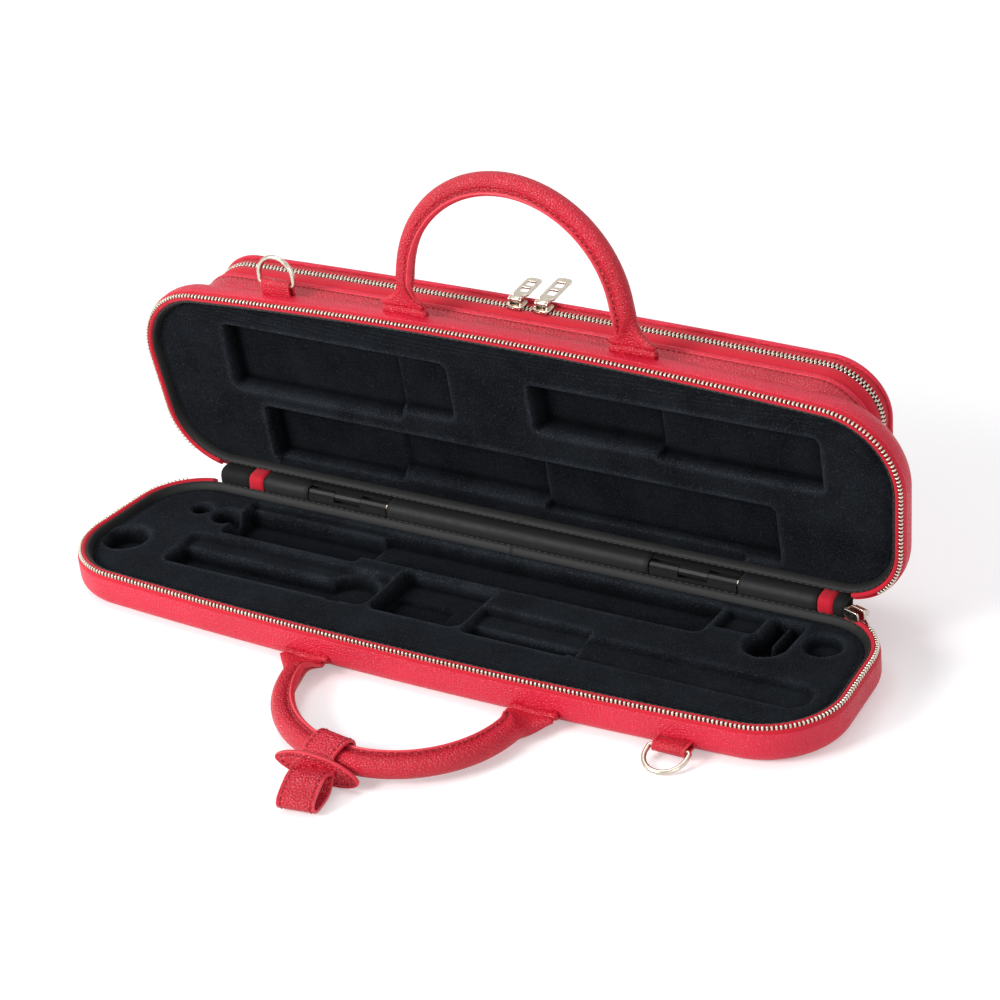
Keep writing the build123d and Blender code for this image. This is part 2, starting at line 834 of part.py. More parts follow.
def d_ring():
    """Wire ring in its own plane: a straight bar on X, legs and a half circle toward -Y."""
    turns = [math.pi * step / ring_runs for step in range(ring_runs + 1)]
    bend = [
        (ring_radius * math.cos(turn), -ring_leg - ring_radius * math.sin(turn)) for turn in turns
    ]
    path = Wire(Polyline((ring_radius, 0), *bend, (-ring_radius, 0)).edges())
    start = Plane(origin=path @ 0, x_dir=(0, 0, 1), z_dir=path % 0)
    section = Rot(0, 0, 180 / rod_sides) * RegularPolygon(ring_wire, rod_sides)
    return carried(start * section, path) + rod(ring_wire, 2 * ring_radius + ring_wire)


def ring_tab(x, height, wall_y, envelope):
    """Leather loop that holds a ring's bar off the wall, trimmed to the wall."""
    place = Pos(x, wall_y - ring_reach, height)
    outer = ring_wire + ring_clearance + ring_tab_leather
    half = ring_tab_width / 2
    loop = place * rod(outer, ring_tab_width)
    y_range = (wall_y - ring_reach, wall_y + wall_bite)
    strap = block((x - half, x + half), y_range, (height - outer, height + outer))
    hole = place * bore(ring_wire + ring_clearance, ring_tab_width + 2 * over_cut)
    return loop + (strap - envelope) - hole


def place_ring(x, height, lean):
    """The D-ring with its bar in the tab, leaning up from level."""
    turned = d_ring().rotate(Axis.X, -lean)
    return Pos(x, wall_at(x) - ring_reach, height) * turned


def wall_at(x):
    """Front wall's outer face at a distance along the case."""
    half = front_length / 2
    radius = (half**2 + front_bow**2) / (2 * front_bow)
    return front_y + radius - math.sqrt(radius**2 - x**2) + skin_inset


# Outer pocket, made above the shut lid


def over(height):
    """Height above the shut lid's closing plane."""
    return closing_height + height


def fold_side():
    """Space over the pocket's hinge side, where the panel folds instead of zipping."""
    reach = (-front_length, front_length)
    return block(reach, (pocket_back_y - pocket_zip_end, case_width), (0, over(panel_top)))


def pocket_gusset():
    """Pebbled wall of the pocket, standing on the lid and higher along the fold."""
    band = ring(pocket_face, 0, pocket_wall, over(lid_handle_height), over(pocket_seam_height))
    fold = ring(pocket_face, 0, pocket_wall, over(pocket_seam_height), over(panel_low - fold_gap))
    return band + (fold & fold_side()) - to_lid(shell_envelope(lid_edge_round)) - lid_anchor_space()


def lid_anchor_space():
    """Room for the handle's anchors where they meet the gusset."""
    gap = anchor_width / 2 + seat_gap
    y_range = (front_y - anchor_reach, pocket_front_y + 2 * pocket_wall)
    z_range = (0, over(lid_handle_height + anchor_height / 2 + seat_gap))
    left, right = (handle_offset + side * handle_span / 2 for side in (-1, 1))
    room = block((left - gap, left + gap), y_range, z_range)
    return room + block((right - gap, right + gap), y_range, z_range)


def pocket_piping():
    """Rolled and stitched edge between the gusset and the zip tape."""
    low, high = over(pocket_seam_height), over(seam_top)
    band = ring(pocket_face, -piping_radius / 2, pocket_wall, low, high)
    outer = band.faces().sort_by(Axis.Z)[-1].outer_wire()
    return chamfer(outer.edges(), piping_radius / 2) - fold_side()


def pocket_tape(low, high):
    """Band of zip tape, open along the fold."""
    inset = chain_inset - tape_thickness / 2
    return ring(pocket_face, inset, inset + tape_thickness, over(low), over(high)) - fold_side()


def on_pocket_zip(point):
    """True where the pocket's zip has teeth."""
    return point.Y < pocket_back_y - pocket_zip_end - tooth_root


def pocket_teeth(low, phase):
    """One row of teeth of the pocket's zip."""
    return teeth(pocket_face, chain_inset, over(low), pocket_tooth_pitch, phase, on_pocket_zip)


def pocket_panel():
    """Leather-covered board that closes the pocket, with a rounded outer edge."""
    board = slab(pocket_face(-panel_overhang), over(panel_low), over(panel_top))
    return chamfer(board.faces().sort_by(Axis.Z)[-1].edges(), panel_bevel)


# Zip sliders, made with X along the zip, Z away from it and the chain on Z = 0


def slider_plan(length):
    """Outline of a slider's plate, narrower at the end that the joined rows leave by."""
    half = length / 2
    wide = slider_width / 2
    narrow = slider_waist / 2
    low_side = [(-half, -narrow), (0, -wide), (half, -wide)]
    high_side = [(half, wide), (0, wide), (-half, narrow)]
    return make_face(Polyline(*low_side, *high_side, close=True))


def slider_crown():
    """Two posts and the rod between them that carries the pull."""
    low = chain_reach + slider_plate
    rod_z = chain_reach + rod_height
    crown = Pos(0, 0, rod_z) * rod(pull_rod, post_spacing)
    y_range = (-post_width / 2, post_width / 2)
    for side in (-1, 1):
        middle = side * post_spacing / 2
        x_range = (middle - post_length / 2, middle + post_length / 2)
        crown += block(x_range, y_range, (low - seat_gap, rod_z + eye_radius))
    return crown


def slider():
    """Outer plate and crown of a slider on a joined chain."""
    plate = extrude(slider_plan(slider_length), amount=slider_plate, dir=(0, 0, 1))
    return Pos(0, 0, chain_reach) * plate + slider_crown()


def main_slider_body():
    """Both plates, nose and crown of the main slider."""
    half = main_slider_length / 2
    rise = (main_slider_top - tape_top - slider_clearance) / 2
    outer = block((-half, half), (-rise, rise), (chain_reach, chain_reach + slider_plate))
    inner = block((-half, half), (-rise, rise), (-chain_reach - slider_plate, -chain_reach))
    nose = block((-half, -half + slider_plate), (-rise, rise), (-chain_reach, chain_reach))
    return outer + inner + nose + slider_crown()


def pull(length):
    """Pull with an eye round the rod at the origin and two windows, lying toward +Y."""
    eye_length = post_spacing - post_length - 2 * pull_play
    middle = (pull_neck + length) / 2
    blade = Pos(0, middle) * chamfer(Rectangle(pull_width, length - pull_neck).vertices(), pull_bevel)
    neck_length = pull_neck + pull_bevel
    plan = blade + Pos(0, neck_length / 2) * Rectangle(pull_neck_width, neck_length)
    window = pull_window_share * (length - pull_neck)
    for side in (-1, 1):
        place = Pos(0, middle + side * window * pull_window_offset)
        plan -= place * Rectangle(pull_window_width, window)
    plate = extrude(plan, amount=pull_thickness, dir=(0, 0, 1))
    eye = rod(eye_radius, eye_length)
    return eye + Pos(0, 0, -pull_thickness / 2) * plate - bore(pull_rod + pull_play, 2 * eye_length)


def on_pocket_chain(piece, x):
    """Put a slider piece on the pocket's chain, its own Y pointing out of the lid."""
    line = pocket_face(chain_inset).face().outer_wire()
    near = min(line.positions(samples(line)), key=lambda point: abs(point.X - x) + point.Y)
    return Pos(x, near.Y, over(pocket_chain_height)) * Rot(90, 0, 0) * piece


def samples(line):
    """Shares along a line, about half a millimetre apart."""
    count = round(2 * line.length)
    return [number / count for number in range(count)]


def main_zip_plane():
    """Plane at the main slider: X along the zip, Z outward, Y down."""
    line = case_face(tooth_line_inset).face().outer_wire()
    shares = [share for share in samples(line) if line.position_at(share).Y > 0]
    share = min(shares, key=lambda value: abs(line.position_at(value).X - main_slider_x))
    along = line.tangent_at(share)
    if along.X < 0:
        along = -along
    point = line.position_at(share)
    height = (main_slider_top + tape_top + slider_clearance) / 2
    return Plane(origin=(point.X, point.Y, height), x_dir=along, z_dir=(-along.Y, along.X, 0))


def on_rod(piece):
    """Move a pull to its slider's rod."""
    return Pos(0, 0, chain_reach + rod_height) * piece


# Files


def half_pieces(name, place, edge_round):
    """Save the pieces that tray and lid have alike."""
    save(f"{name}_shell", place(shell(edge_round)))
    save(f"{name}_binding", place(binding()))
    save(f"{name}_zip_tape", place(zip_tape()))
    save(f"{name}_hinge_strip", place(hinge_strip()))
    save(f"{name}_stays", place(rabbet_band(left_stay)), place(rabbet_band(right_stay)))
    save(f"{name}_end_tabs", place(rabbet_band(left_tab)), place(rabbet_band(right_tab)))


def build_tray():
    """Fixed pieces of the tray."""
    envelope = shell_envelope(tray_edge_round)
    half_pieces("base", lambda piece: piece, tray_edge_round)
    save("base_insert", tray_insert())
    save("base_zip_teeth", *main_teeth(row_phase))
    leaf = hinge_leaf(0)
    for side, x in (("left", -hinge_centre), ("right", hinge_centre)):
        save(f"base_hinge_leaf_{side}", Pos(x, 0, 0) * leaf)
        save(f"hinge_pin_{side}", Pos(x, 0, 0) * hinge_pin())
    save("base_handle_anchors", *handle_anchors(tray_handle_height, envelope))
    save("base_ring_tab", ring_tab(tray_ring_x, tray_ring_height, wall_at(tray_ring_x), envelope))


def on_lid(piece):
    """A piece made as if for the tray, put on the open lid."""
    return opened(to_lid(piece))


def build_lid():
    """Fixed pieces of the lid."""
    envelope = shell_envelope(lid_edge_round)
    half_pieces("lid", on_lid, lid_edge_round)
    save("lid_insert", on_lid(lid_insert()))
    save("lid_zip_teeth", *[on_lid(tooth) for tooth in main_teeth(facing_phase)])
    leaf = hinge_leaf(1)
    for side, x in (("left", -hinge_centre), ("right", hinge_centre)):
        save(f"lid_hinge_leaf_{side}", on_lid(Pos(x, 0, 0) * leaf))
    anchor_height_inside = closing_height - lid_handle_height
    save("lid_handle_anchors", *[on_lid(end) for end in handle_anchors(anchor_height_inside, envelope)])
    ring_height_inside = closing_height - lid_ring_height
    save("lid_ring_tab", on_lid(ring_tab(lid_ring_x, ring_height_inside, wall_at(lid_ring_x), envelope)))


def build_pocket():
    """Outer pocket with its zip."""
    save("pocket_gusset", opened(pocket_gusset()))
    save("pocket_piping", opened(pocket_piping()))
    save("pocket_inner_tape", opened(pocket_tape(seam_top, pocket_tape_top)))
    inner_row = pocket_teeth(pocket_tape_top + seat_gap, row_phase)
    save("pocket_inner_teeth", *[opened(tooth) for tooth in inner_row])
    save("pocket_outer_tape", opened(pocket_tape(outer_tape_low, panel_low)))
    outer_row = pocket_teeth(outer_row_low, facing_phase)
    save("pocket_outer_teeth", *[opened(tooth) for tooth in outer_row])
    save("pocket_panel", opened(pocket_panel()))


def build_sliders():
    """Sliders and their pulls."""
    for side, x, length in zip(("left", "right"), (slider_left_x, slider_right_x), pocket_pull_lengths):
        save(f"pocket_slider_{side}", opened(on_pocket_chain(slider(), x)))
        save(f"pocket_pull_{side}", opened(on_pocket_chain(on_rod(pull(length)), x)))
    plane = main_zip_plane()
    save("main_slider", plane * main_slider_body())
    save("main_pull", plane * on_rod(pull(main_pull_length)))


def build_handles():
    """Handles, keeper strap and rings."""
    tray_handle = handle(tray_handle_straights, tray_handle_slopes)
    save("base_handle", place_handle(tray_handle, tray_handle_height, tray_handle_lean))
    lid_handle = handle(lid_handle_straights, lid_handle_slopes)
    save("lid_handle", opened(place_handle(lid_handle, over(lid_handle_height), lid_handle_lean)))
    save("keeper_strap", place_keeper(keeper_strap()))
    save("keeper_leaf", place_keeper(keeper_leaf()))
    save("base_ring", place_ring(tray_ring_x, tray_ring_height, tray_ring_lean))
    save("lid_ring", opened(place_ring(lid_ring_x, over(lid_ring_height), lid_ring_lean)))


def main():
    """Build every sub-part and write it."""
    os.makedirs("parts", exist_ok=True)
    build_tray()
    build_lid()
    build_pocket()
    build_sliders()
    build_handles()


main()
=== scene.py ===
"""Soft flute case dressed in leather, plush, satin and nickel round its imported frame.

Helpers work in millimetres in the frame's axes and meshes are written in metres. Pieces of the lid
are made as if the case were shut and then swung open.
"""

import math

import bmesh
import bpy
import numpy as np
from mathutils import Matrix, Vector


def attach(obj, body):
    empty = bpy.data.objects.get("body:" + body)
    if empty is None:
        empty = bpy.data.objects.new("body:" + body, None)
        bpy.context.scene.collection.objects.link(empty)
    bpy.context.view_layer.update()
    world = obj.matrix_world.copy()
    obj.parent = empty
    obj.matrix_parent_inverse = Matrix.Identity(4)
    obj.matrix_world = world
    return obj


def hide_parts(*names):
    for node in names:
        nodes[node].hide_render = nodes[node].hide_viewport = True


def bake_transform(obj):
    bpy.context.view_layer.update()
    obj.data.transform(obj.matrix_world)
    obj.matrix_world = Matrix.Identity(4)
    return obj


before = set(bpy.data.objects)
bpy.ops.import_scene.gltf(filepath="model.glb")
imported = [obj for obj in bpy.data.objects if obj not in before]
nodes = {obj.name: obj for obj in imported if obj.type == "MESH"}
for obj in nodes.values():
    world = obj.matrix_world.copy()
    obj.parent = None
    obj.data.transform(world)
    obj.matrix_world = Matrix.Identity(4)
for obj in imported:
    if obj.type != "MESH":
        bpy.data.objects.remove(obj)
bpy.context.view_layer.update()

MM = 0.001

# Sizes of the case, as in its solids
CASE = (440.0, 422.0, -58.0, 58.0, 9.0, 41.0, 37.0)
POCKET = (386.0, 370.0, -52.5, 44.0, 3.0, 27.0, 20.0)
CLOSING = 22.5
OPEN_ANGLE = math.radians(84.0)
SKIN, WALL_SKIN, RIM, TAPE_TOP, RABBET = 0.8, 1.1, 17.55, 18.35, 13.35
TOOTH_LINE, BINDING, INSERT, INSERT_TOP = 2.4, 2.9, 8.4, 16.5
ZIP_END = 184.0


# Meshes


def shut_lid(points):
    """Points made for the tray, mirrored to the shut lid."""
    return points * (1, 1, -1) + (0, 0, 2 * CLOSING)


def opened(points):
    """Points of the shut lid, swung open about the hinge."""
    y, z = points[:, 1] - 58.0, points[:, 2] - CLOSING
    cos, sin = math.cos(OPEN_ANGLE), math.sin(OPEN_ANGLE)
    return np.stack([points[:, 0], 58.0 + y * cos + z * sin, CLOSING - y * sin + z * cos], axis=1)


def on_lid(points):
    """Points made for the tray, on the open lid."""
    return opened(shut_lid(points))


def on_tray(points):
    """Points that stay where they are."""
    return points


def mesh_object(name, points, faces, material, body, stands_for=(), smooth=True, coords=None):
    """A mesh piece in metres that rides on a body, or on none yet."""
    mesh = bpy.data.meshes.new(name)
    mesh.from_pydata((np.asarray(points, float) * MM).tolist(), [], [list(face) for face in faces])
    mesh.validate()
    if smooth:
        mesh.polygons.foreach_set("use_smooth", [True] * len(mesh.polygons))
    if coords is not None:
        layer = mesh.uv_layers.new(name="cloth")
        corner = np.empty(len(mesh.loops), dtype=np.int32)
        mesh.loops.foreach_get("vertex_index", corner)
        layer.data.foreach_set("uv", (np.asarray(coords)[corner] * MM).ravel().tolist())
    mesh.materials.append(material)
    mesh.update()
    piece = bpy.data.objects.new(name, mesh)
    bpy.context.scene.collection.objects.link(piece)
    if body:
        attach(piece, body)
    if stands_for:
        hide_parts(*stands_for)
    return piece


def grid_faces(rows, columns, closed, flip=False):
    """Quads of a grid of points, row by row, joined round when closed."""
    faces = []
    for row in range(rows - 1):
        for column in range(columns if closed else columns - 1):
            after = (column + 1) % columns
            face = (row * columns + column, row * columns + after, (row + 1) * columns + after, (row + 1) * columns + column)
            faces.append(face[::-1] if flip else face)
    return faces


# Plans


def plan_line(front, back, low, high, bow, low_round, high_round, step=2.0):
    """Points, outward normals and distances along a rounded plan, from the front's middle rightward."""
    half = front / 2
    bow_radius = (half**2 + bow**2) / (2 * bow)
    bow_centre = np.array([0.0, low + bow_radius])
    start = np.array([half, low + bow])
    along = np.array([back / 2, high]) - start
    along /= np.linalg.norm(along)
    side = np.array([along[1], -along[0]])
    offset = start - side * low_round - bow_centre
    middle = offset @ along
    reach = -middle - math.sqrt(middle**2 - offset @ offset + (bow_radius - low_round) ** 2)
    centre = start - side * low_round + along * reach
    foot = start - side * high_round
    top_centre = foot + along * ((high - high_round - foot[1]) / along[1])
    turn_low = math.atan2(*(centre - bow_centre)[::-1])
    turn_side = math.atan2(side[1], side[0])
    pieces = []
    for middle_point, radius, first, last in (
        (bow_centre, bow_radius, -math.pi / 2, turn_low),
        (centre, low_round, turn_low, turn_side),
    ):
        count = max(4, round(radius * abs(last - first) / step))
        turn = np.linspace(first, last, count, endpoint=False)
        normal = np.stack([np.cos(turn), np.sin(turn)], axis=1)
        pieces.append((middle_point + radius * normal, normal))
    low_end, high_end = centre + side * low_round, top_centre + side * high_round
    count = max(2, round(np.linalg.norm(high_end - low_end) / step))
    share = np.linspace(0, 1, count, endpoint=False)[:, None]
    pieces.append((low_end + (high_end - low_end) * share, np.repeat(side[None], count, axis=0)))
    count = max(4, round(high_round * (math.pi / 2 - turn_side) / step))
    turn = np.linspace(turn_side, math.pi / 2, count, endpoint=False)
    normal = np.stack([np.cos(turn), np.sin(turn)], axis=1)
    pieces.append((top_centre + high_round * normal, normal))
    count = max(2, round(top_centre[0] / step))
    share = np.linspace(0, 1, count + 1)[:, None]
    run = np.array([top_centre[0], high]) * (1 - share) + np.array([0.0, high]) * share
    pieces.append((run, np.repeat([[0.0, 1.0]], count + 1, axis=0)))
    points = np.concatenate([piece[0] for piece in pieces])
    normals = np.concatenate([piece[1] for piece in pieces])
    mirrored = slice(-2, 0, -1)
    points = np.concatenate([points, points[mirrored] * (-1, 1)])
    normals = np.concatenate([normals, normals[mirrored] * (-1, 1)])
    gaps = np.linalg.norm(np.diff(np.vstack([points, points[:1]]), axis=0), axis=1)
    return points, normals, np.concatenate([[0.0], np.cumsum(gaps)[:-1]]), gaps.sum()


case_points, case_normals, case_along, case_length = plan_line(*CASE)
pocket_points, pocket_normals, pocket_along, pocket_length = plan_line(*POCKET)


def swept(line, profile):
    """Grid of points: each profile pair (inset, height) carried round a plan line."""
    points, normals = line[0], line[1]
    rows = []
    for inset, height in profile:
        flat = points - normals * inset
        rows.append(np.column_stack([flat, np.full(len(flat), height)]))
    return np.concatenate(rows)


def arc(centre, radius, first, last, count):
    """Profile points round a quarter or so, in (inset, height)."""
    turns = np.radians(np.linspace(first, last, count))
    return [(centre[0] + radius * math.cos(turn), centre[1] + radius * math.sin(turn)) for turn in turns]


def open_line(line, keep):
    """The run of a plan line where keep allows it, as an open line in order."""
    flags = np.array([keep(x, y) for x, y in line[0]])
    if flags.all():
        return line
    first = next(i for i in range(len(flags)) if flags[i] and not flags[i - 1])
    order = [(first + i) % len(flags) for i in range(len(flags))]
    order = order[: next((i for i, index in enumerate(order) if not flags[index]), len(order))]
    along = line[2][order]
    along = np.where(along < along[0], along + line[3], along)
    return line[0][order], line[1][order], along, line[3]


case_line = (case_points, case_normals, case_along, case_length)
pocket_line = (pocket_points, pocket_normals, pocket_along, pocket_length)


def lofted(sections, caps=True):
    """Points and faces through closed sections that have the same count."""
    count = len(sections[0])
    faces = grid_faces(len(sections), count, True)
    if caps:
        faces.append(tuple(range(count))[::-1])
        faces.append(tuple(range(count * (len(sections) - 1), count * len(sections))))
    return np.concatenate(sections), faces


def looped(sections):
    """Points and faces through closed sections that run round in a ring."""
    count = len(sections[0])
    faces = grid_faces(len(sections), count, True)
    last = (len(sections) - 1) * count
    for column in range(count):
        after = (column + 1) % count
        faces.append((last + column, last + after, after, column))
    return np.concatenate(sections), faces


def several(parts):
    """Points and faces of many forms as one."""
    points, faces, start = [], [], 0
    for part_points, part_faces in parts:
        points.append(part_points)
        faces += [tuple(start + index for index in face) for face in part_faces]
        start += len(part_points)
    return np.concatenate(points), faces


def solid_object(name, form, place, material, body, stands_for=(), coords=None):
    """A closed form as a piece, its faces turned outward."""
    points, faces = form
    piece = mesh_object(name, place(points), faces, material, body, stands_for, coords=coords)
    shape = bmesh.new()
    shape.from_mesh(piece.data)
    bmesh.ops.recalc_face_normals(shape, faces=shape.faces)
    shape.to_mesh(piece.data)
    shape.free()
    return piece


def frames(path, closed):
    """Tangents along a path of 3-D points."""
    if closed:
        runs = np.roll(path, -1, axis=0) - np.roll(path, 1, axis=0)
    else:
        runs = np.gradient(path, axis=0)
    return runs / np.linalg.norm(runs, axis=1, keepdims=True)


def tube_sections(path, up, outline, closed=False):
    """Sections of an outline of (side, up) pairs carried along a path."""
    tangents = frames(path, closed)
    ups = np.broadcast_to(np.asarray(up, float), path.shape)
    ups = ups - tangents * np.sum(ups * tangents, axis=1, keepdims=True)
    ups = ups / np.linalg.norm(ups, axis=1, keepdims=True)
    sides = np.cross(tangents, ups)
    outline = np.asarray(outline, float)
    return [point + outline[:, :1] * side + outline[:, 1:2] * lift for point, side, lift in zip(path, sides, ups)]


def circle(radius, count=12, squeeze=1.0):
    """Outline round a tube, flattened by a share."""
    turns = np.linspace(0, 2 * np.pi, count, endpoint=False)
    return np.column_stack([radius * np.cos(turns), radius * squeeze * np.sin(turns)])


def soft_oblong(half_side, half_up, round_edge, count=3):
    """Outline of an oblong with rounded edges."""
    outline = []
    for side, up, first in ((1, 1, 0), (-1, 1, 90), (-1, -1, 180), (1, -1, 270)):
        for turn in np.radians(np.linspace(first, first + 90, count)):
            outline.append((
                side * (half_side - round_edge) + round_edge * math.cos(turn),
                up * (half_up - round_edge) + round_edge * math.sin(turn),
            ))
    return np.array(outline)


def smooth_path(points, per_run=8, closed=False):
    """Smooth line through points."""
    points = np.asarray(points, float)
    if closed:
        padded = np.vstack([points[-1:], points, points[:2]])
    else:
        padded = np.vstack([2 * points[:1] - points[1:2], points, 2 * points[-1:] - points[-2:-1]])
    share = np.linspace(0, 1, per_run, endpoint=False)[:, None]
    runs = []
    for a, b, c, d in zip(padded, padded[1:], padded[2:], padded[3:]):
        runs.append(0.5 * (2 * b + (c - a) * share + (2 * a - 5 * b + 4 * c - d) * share**2 + (3 * b - a - 3 * c + d) * share**3))
    line = np.concatenate(runs)
    return line if closed else np.vstack([line, points[-1:]])


def spaced(path, pitch, closed=False, start=0.0):
    """Evenly spaced points along a path, with the tangent at each."""
    loop = np.vstack([path, path[:1]]) if closed else path
    gaps = np.linalg.norm(np.diff(loop, axis=0), axis=1)
    along = np.concatenate([[0.0], np.cumsum(gaps)])
    lengths = np.arange(start, along[-1] - start, pitch)
    points = np.stack([np.interp(lengths, along, loop[:, axis]) for axis in range(3)], axis=1)
    ahead = np.stack([np.interp(lengths + 0.05, along, loop[:, axis]) for axis in range(3)], axis=1)
    back = np.stack([np.interp(lengths - 0.05, along, loop[:, axis]) for axis in range(3)], axis=1)
    runs = ahead - back
    return points, runs / np.linalg.norm(runs, axis=1, keepdims=True)


def stitches(path, length, pitch, radius=0.24, closed=False, start=1.0):
    """Short thread dashes along a path."""
    points, tangents = spaced(path, pitch, closed, start)
    dashes = []
    for point, tangent in zip(points, tangents):
        up = np.array([0.0, 0.0, 1.0]) if abs(tangent[2]) < 0.9 else np.array([1.0, 0.0, 0.0])
        side = np.cross(tangent, up)
        side /= np.linalg.norm(side)
        lift = np.cross(side, tangent)
        rings = []
        for share, size in ((-0.5, 0.35), (-0.36, 1.0), (0.36, 1.0), (0.5, 0.35)):
            turns = np.radians(np.arange(6) * 60.0)
            ring = np.cos(turns)[:, None] * side + np.sin(turns)[:, None] * lift
            rings.append(point + tangent * length * share + ring * radius * size)
        dashes.append(lofted(rings))
    return several(dashes)


def plate(outlines, thickness, bevel):
    """Flat plate with holes and softened edges, centred on Z = 0."""
    curve = bpy.data.curves.new("outline", "CURVE")
    curve.dimensions = "2D"
    curve.fill_mode = "BOTH"
    curve.extrude = thickness / 2 - bevel
    curve.bevel_depth = bevel
    curve.bevel_resolution = 2
    curve.offset = -bevel
    for outline in outlines:
        spline = curve.splines.new("POLY")
        spline.points.add(len(outline) - 1)
        for point, (x, y) in zip(spline.points, outline):
            point.co = (x, y, 0.0, 1.0)
        spline.use_cyclic_u = True
    holder = bpy.data.objects.new("outline", curve)
    bpy.context.scene.collection.objects.link(holder)
    bpy.context.view_layer.update()
    mesh = bpy.data.meshes.new_from_object(holder)
    points = np.array([vertex.co[:] for vertex in mesh.vertices])
    faces = [tuple(face.vertices) for face in mesh.polygons]
    bpy.data.objects.remove(holder)
    bpy.data.curves.remove(curve)
    bpy.data.meshes.remove(mesh)
    return points, faces


def round_corners(corners, radius, count=5):
    """Outline of a polygon with rounded corners."""
    corners = np.asarray(corners, float)
    radii = np.broadcast_to(radius, len(corners))
    outline = []
    for number, corner in enumerate(corners):
        before = corners[number - 1] - corner
        after = corners[(number + 1) % len(corners)] - corner
        before /= np.linalg.norm(before)
        after /= np.linalg.norm(after)
        half = math.acos(float(np.clip(before @ after, -1, 1))) / 2
        if radii[number] < 0.01:
            outline.append(corner)
            continue
        reach = radii[number] / math.tan(half)
        first, last = corner + before * reach, corner + after * reach
        share = np.linspace(0, 1, count)[:, None]
        outline += list((1 - share) ** 2 * first + 2 * share * (1 - share) * corner + share**2 * last)
    return np.array(outline)


def moved(form, shift=(0, 0, 0), turn=None):
    """A form turned by a matrix and shifted."""
    points, faces = form
    if turn is not None:
        points = points @ np.array(turn).T
    return points + np.array(shift, float), faces


def turn_x(degrees):
    """Turn about X."""
    cos, sin = math.cos(math.radians(degrees)), math.sin(math.radians(degrees))
    return np.array([[1, 0, 0], [0, cos, -sin], [0, sin, cos]])


def turn_y(degrees):
    """Turn about Y."""
    cos, sin = math.cos(math.radians(degrees)), math.sin(math.radians(degrees))
    return np.array([[cos, 0, sin], [0, 1, 0], [-sin, 0, cos]])


def turn_z(degrees):
    """Turn about Z."""
    cos, sin = math.cos(math.radians(degrees)), math.sin(math.radians(degrees))
    return np.array([[cos, -sin, 0], [sin, cos, 0], [0, 0, 1]])


def tail(line, inset, height):
    """Path along an inset of a plan line at a height."""
    flat = line[0] - line[1] * inset
    return np.column_stack([flat, np.full(len(flat), height)])


def belt(line, profile, closed):
    """A closed profile of (inset, height) pairs carried round a plan line."""
    points, normals, lengths = line[:3]
    if closed:
        half = len(points) // 2
        points, normals, lengths = (np.roll(values, half, axis=0) for values in (points, normals, lengths))
        lengths = lengths - line[3] * (lengths > line[3] / 2)
    rows = []
    for (x, y), (normal_x, normal_y) in zip(points, normals):
        rows.append(np.array([(x - normal_x * inset, y - normal_y * inset, height) for inset, height in profile]))
    form = looped(rows) if closed else lofted(rows)
    across = np.concatenate([[0.0], np.cumsum(np.linalg.norm(np.diff(np.array(profile), axis=0), axis=1))])
    coords = np.concatenate([np.column_stack([np.full(len(profile), along), across]) for along in lengths])
    return form, coords


def band_piece(name, line, profile, material, body, place, stands_for=(), closed=True):
    """A closed profile carried round a plan line."""
    form, coords = belt(line, profile, closed)
    return solid_object(name, form, place, material, body, stands_for, coords=coords)


# Materials


class Finish:
    """A node material with short calls for its parts."""

    def __init__(self, name):
        self.material = bpy.data.materials.new(name)
        self.material.use_nodes = True
        self.tree = self.material.node_tree
        self.shader = self.tree.nodes["Principled BSDF"]
        self.place = self.add("ShaderNodeTexCoord").outputs["Object"]

    def add(self, kind, **settings):
        node = self.tree.nodes.new(kind)
        for key, value in settings.items():
            if key in node.inputs:
                node.inputs[key].default_value = value
            else:
                setattr(node, key, value)
        return node

    def link(self, output, target):
        self.tree.links.new(output, target)
        return target

    def set(self, **values):
        for key, value in values.items():
            self.shader.inputs[key.replace("_", " ")].default_value = value

    def noise(self, scale, detail=2.0, rough=0.5, place=None):
        node = self.add("ShaderNodeTexNoise", Scale=scale, Detail=detail, Roughness=rough)
        self.link(place or self.place, node.inputs["Vector"])
        return node.outputs["Fac"]

    def cells(self, scale, feature="F1", place=None, randomness=1.0):
        node = self.add("ShaderNodeTexVoronoi", feature=feature, Scale=scale, Randomness=randomness)
        self.link(place or self.place, node.inputs["Vector"])
        return node.outputs["Distance"]

    def ramp(self, value, stops):
        node = self.add("ShaderNodeValToRGB")
        ramp = node.color_ramp
        while len(ramp.elements) < len(stops):
            ramp.elements.new(0.5)
        for element, (position, colour) in zip(ramp.elements, stops):
            element.position = position
            element.color = (*colour, 1.0) if len(colour) == 3 else colour
        self.link(value, node.inputs["Fac"])
        return node.outputs["Color"]

    def math(self, operation, first, second=None):
        node = self.add("ShaderNodeMath", operation=operation)
        for socket, value in zip(node.inputs, (first, second)):
            if isinstance(value, (int, float)):
                socket.default_value = value
            elif value is not None:
                self.link(value, socket)
        return node.outputs["Value"]

    def mix(self, factor, first, second):
        node = self.add("ShaderNodeMix", data_type="RGBA")
        for index, value in ((0, factor), (6, first), (7, second)):
            socket = node.inputs[index]
            if isinstance(value, (int, float)):
                socket.default_value = value
            elif isinstance(value, tuple):
                socket.default_value = (*value, 1.0)
            else:
                self.link(value, socket)
        return node.outputs[2]

    def bump(self, height, strength, distance):
        node = self.add("ShaderNodeBump", Strength=strength, Distance=distance)
        self.link(height, node.inputs["Height"])
        previous = self.shader.inputs["Normal"]
        if previous.is_linked:
            self.link(previous.links[0].from_socket, node.inputs["Normal"])
        self.link(node.outputs["Normal"], previous)


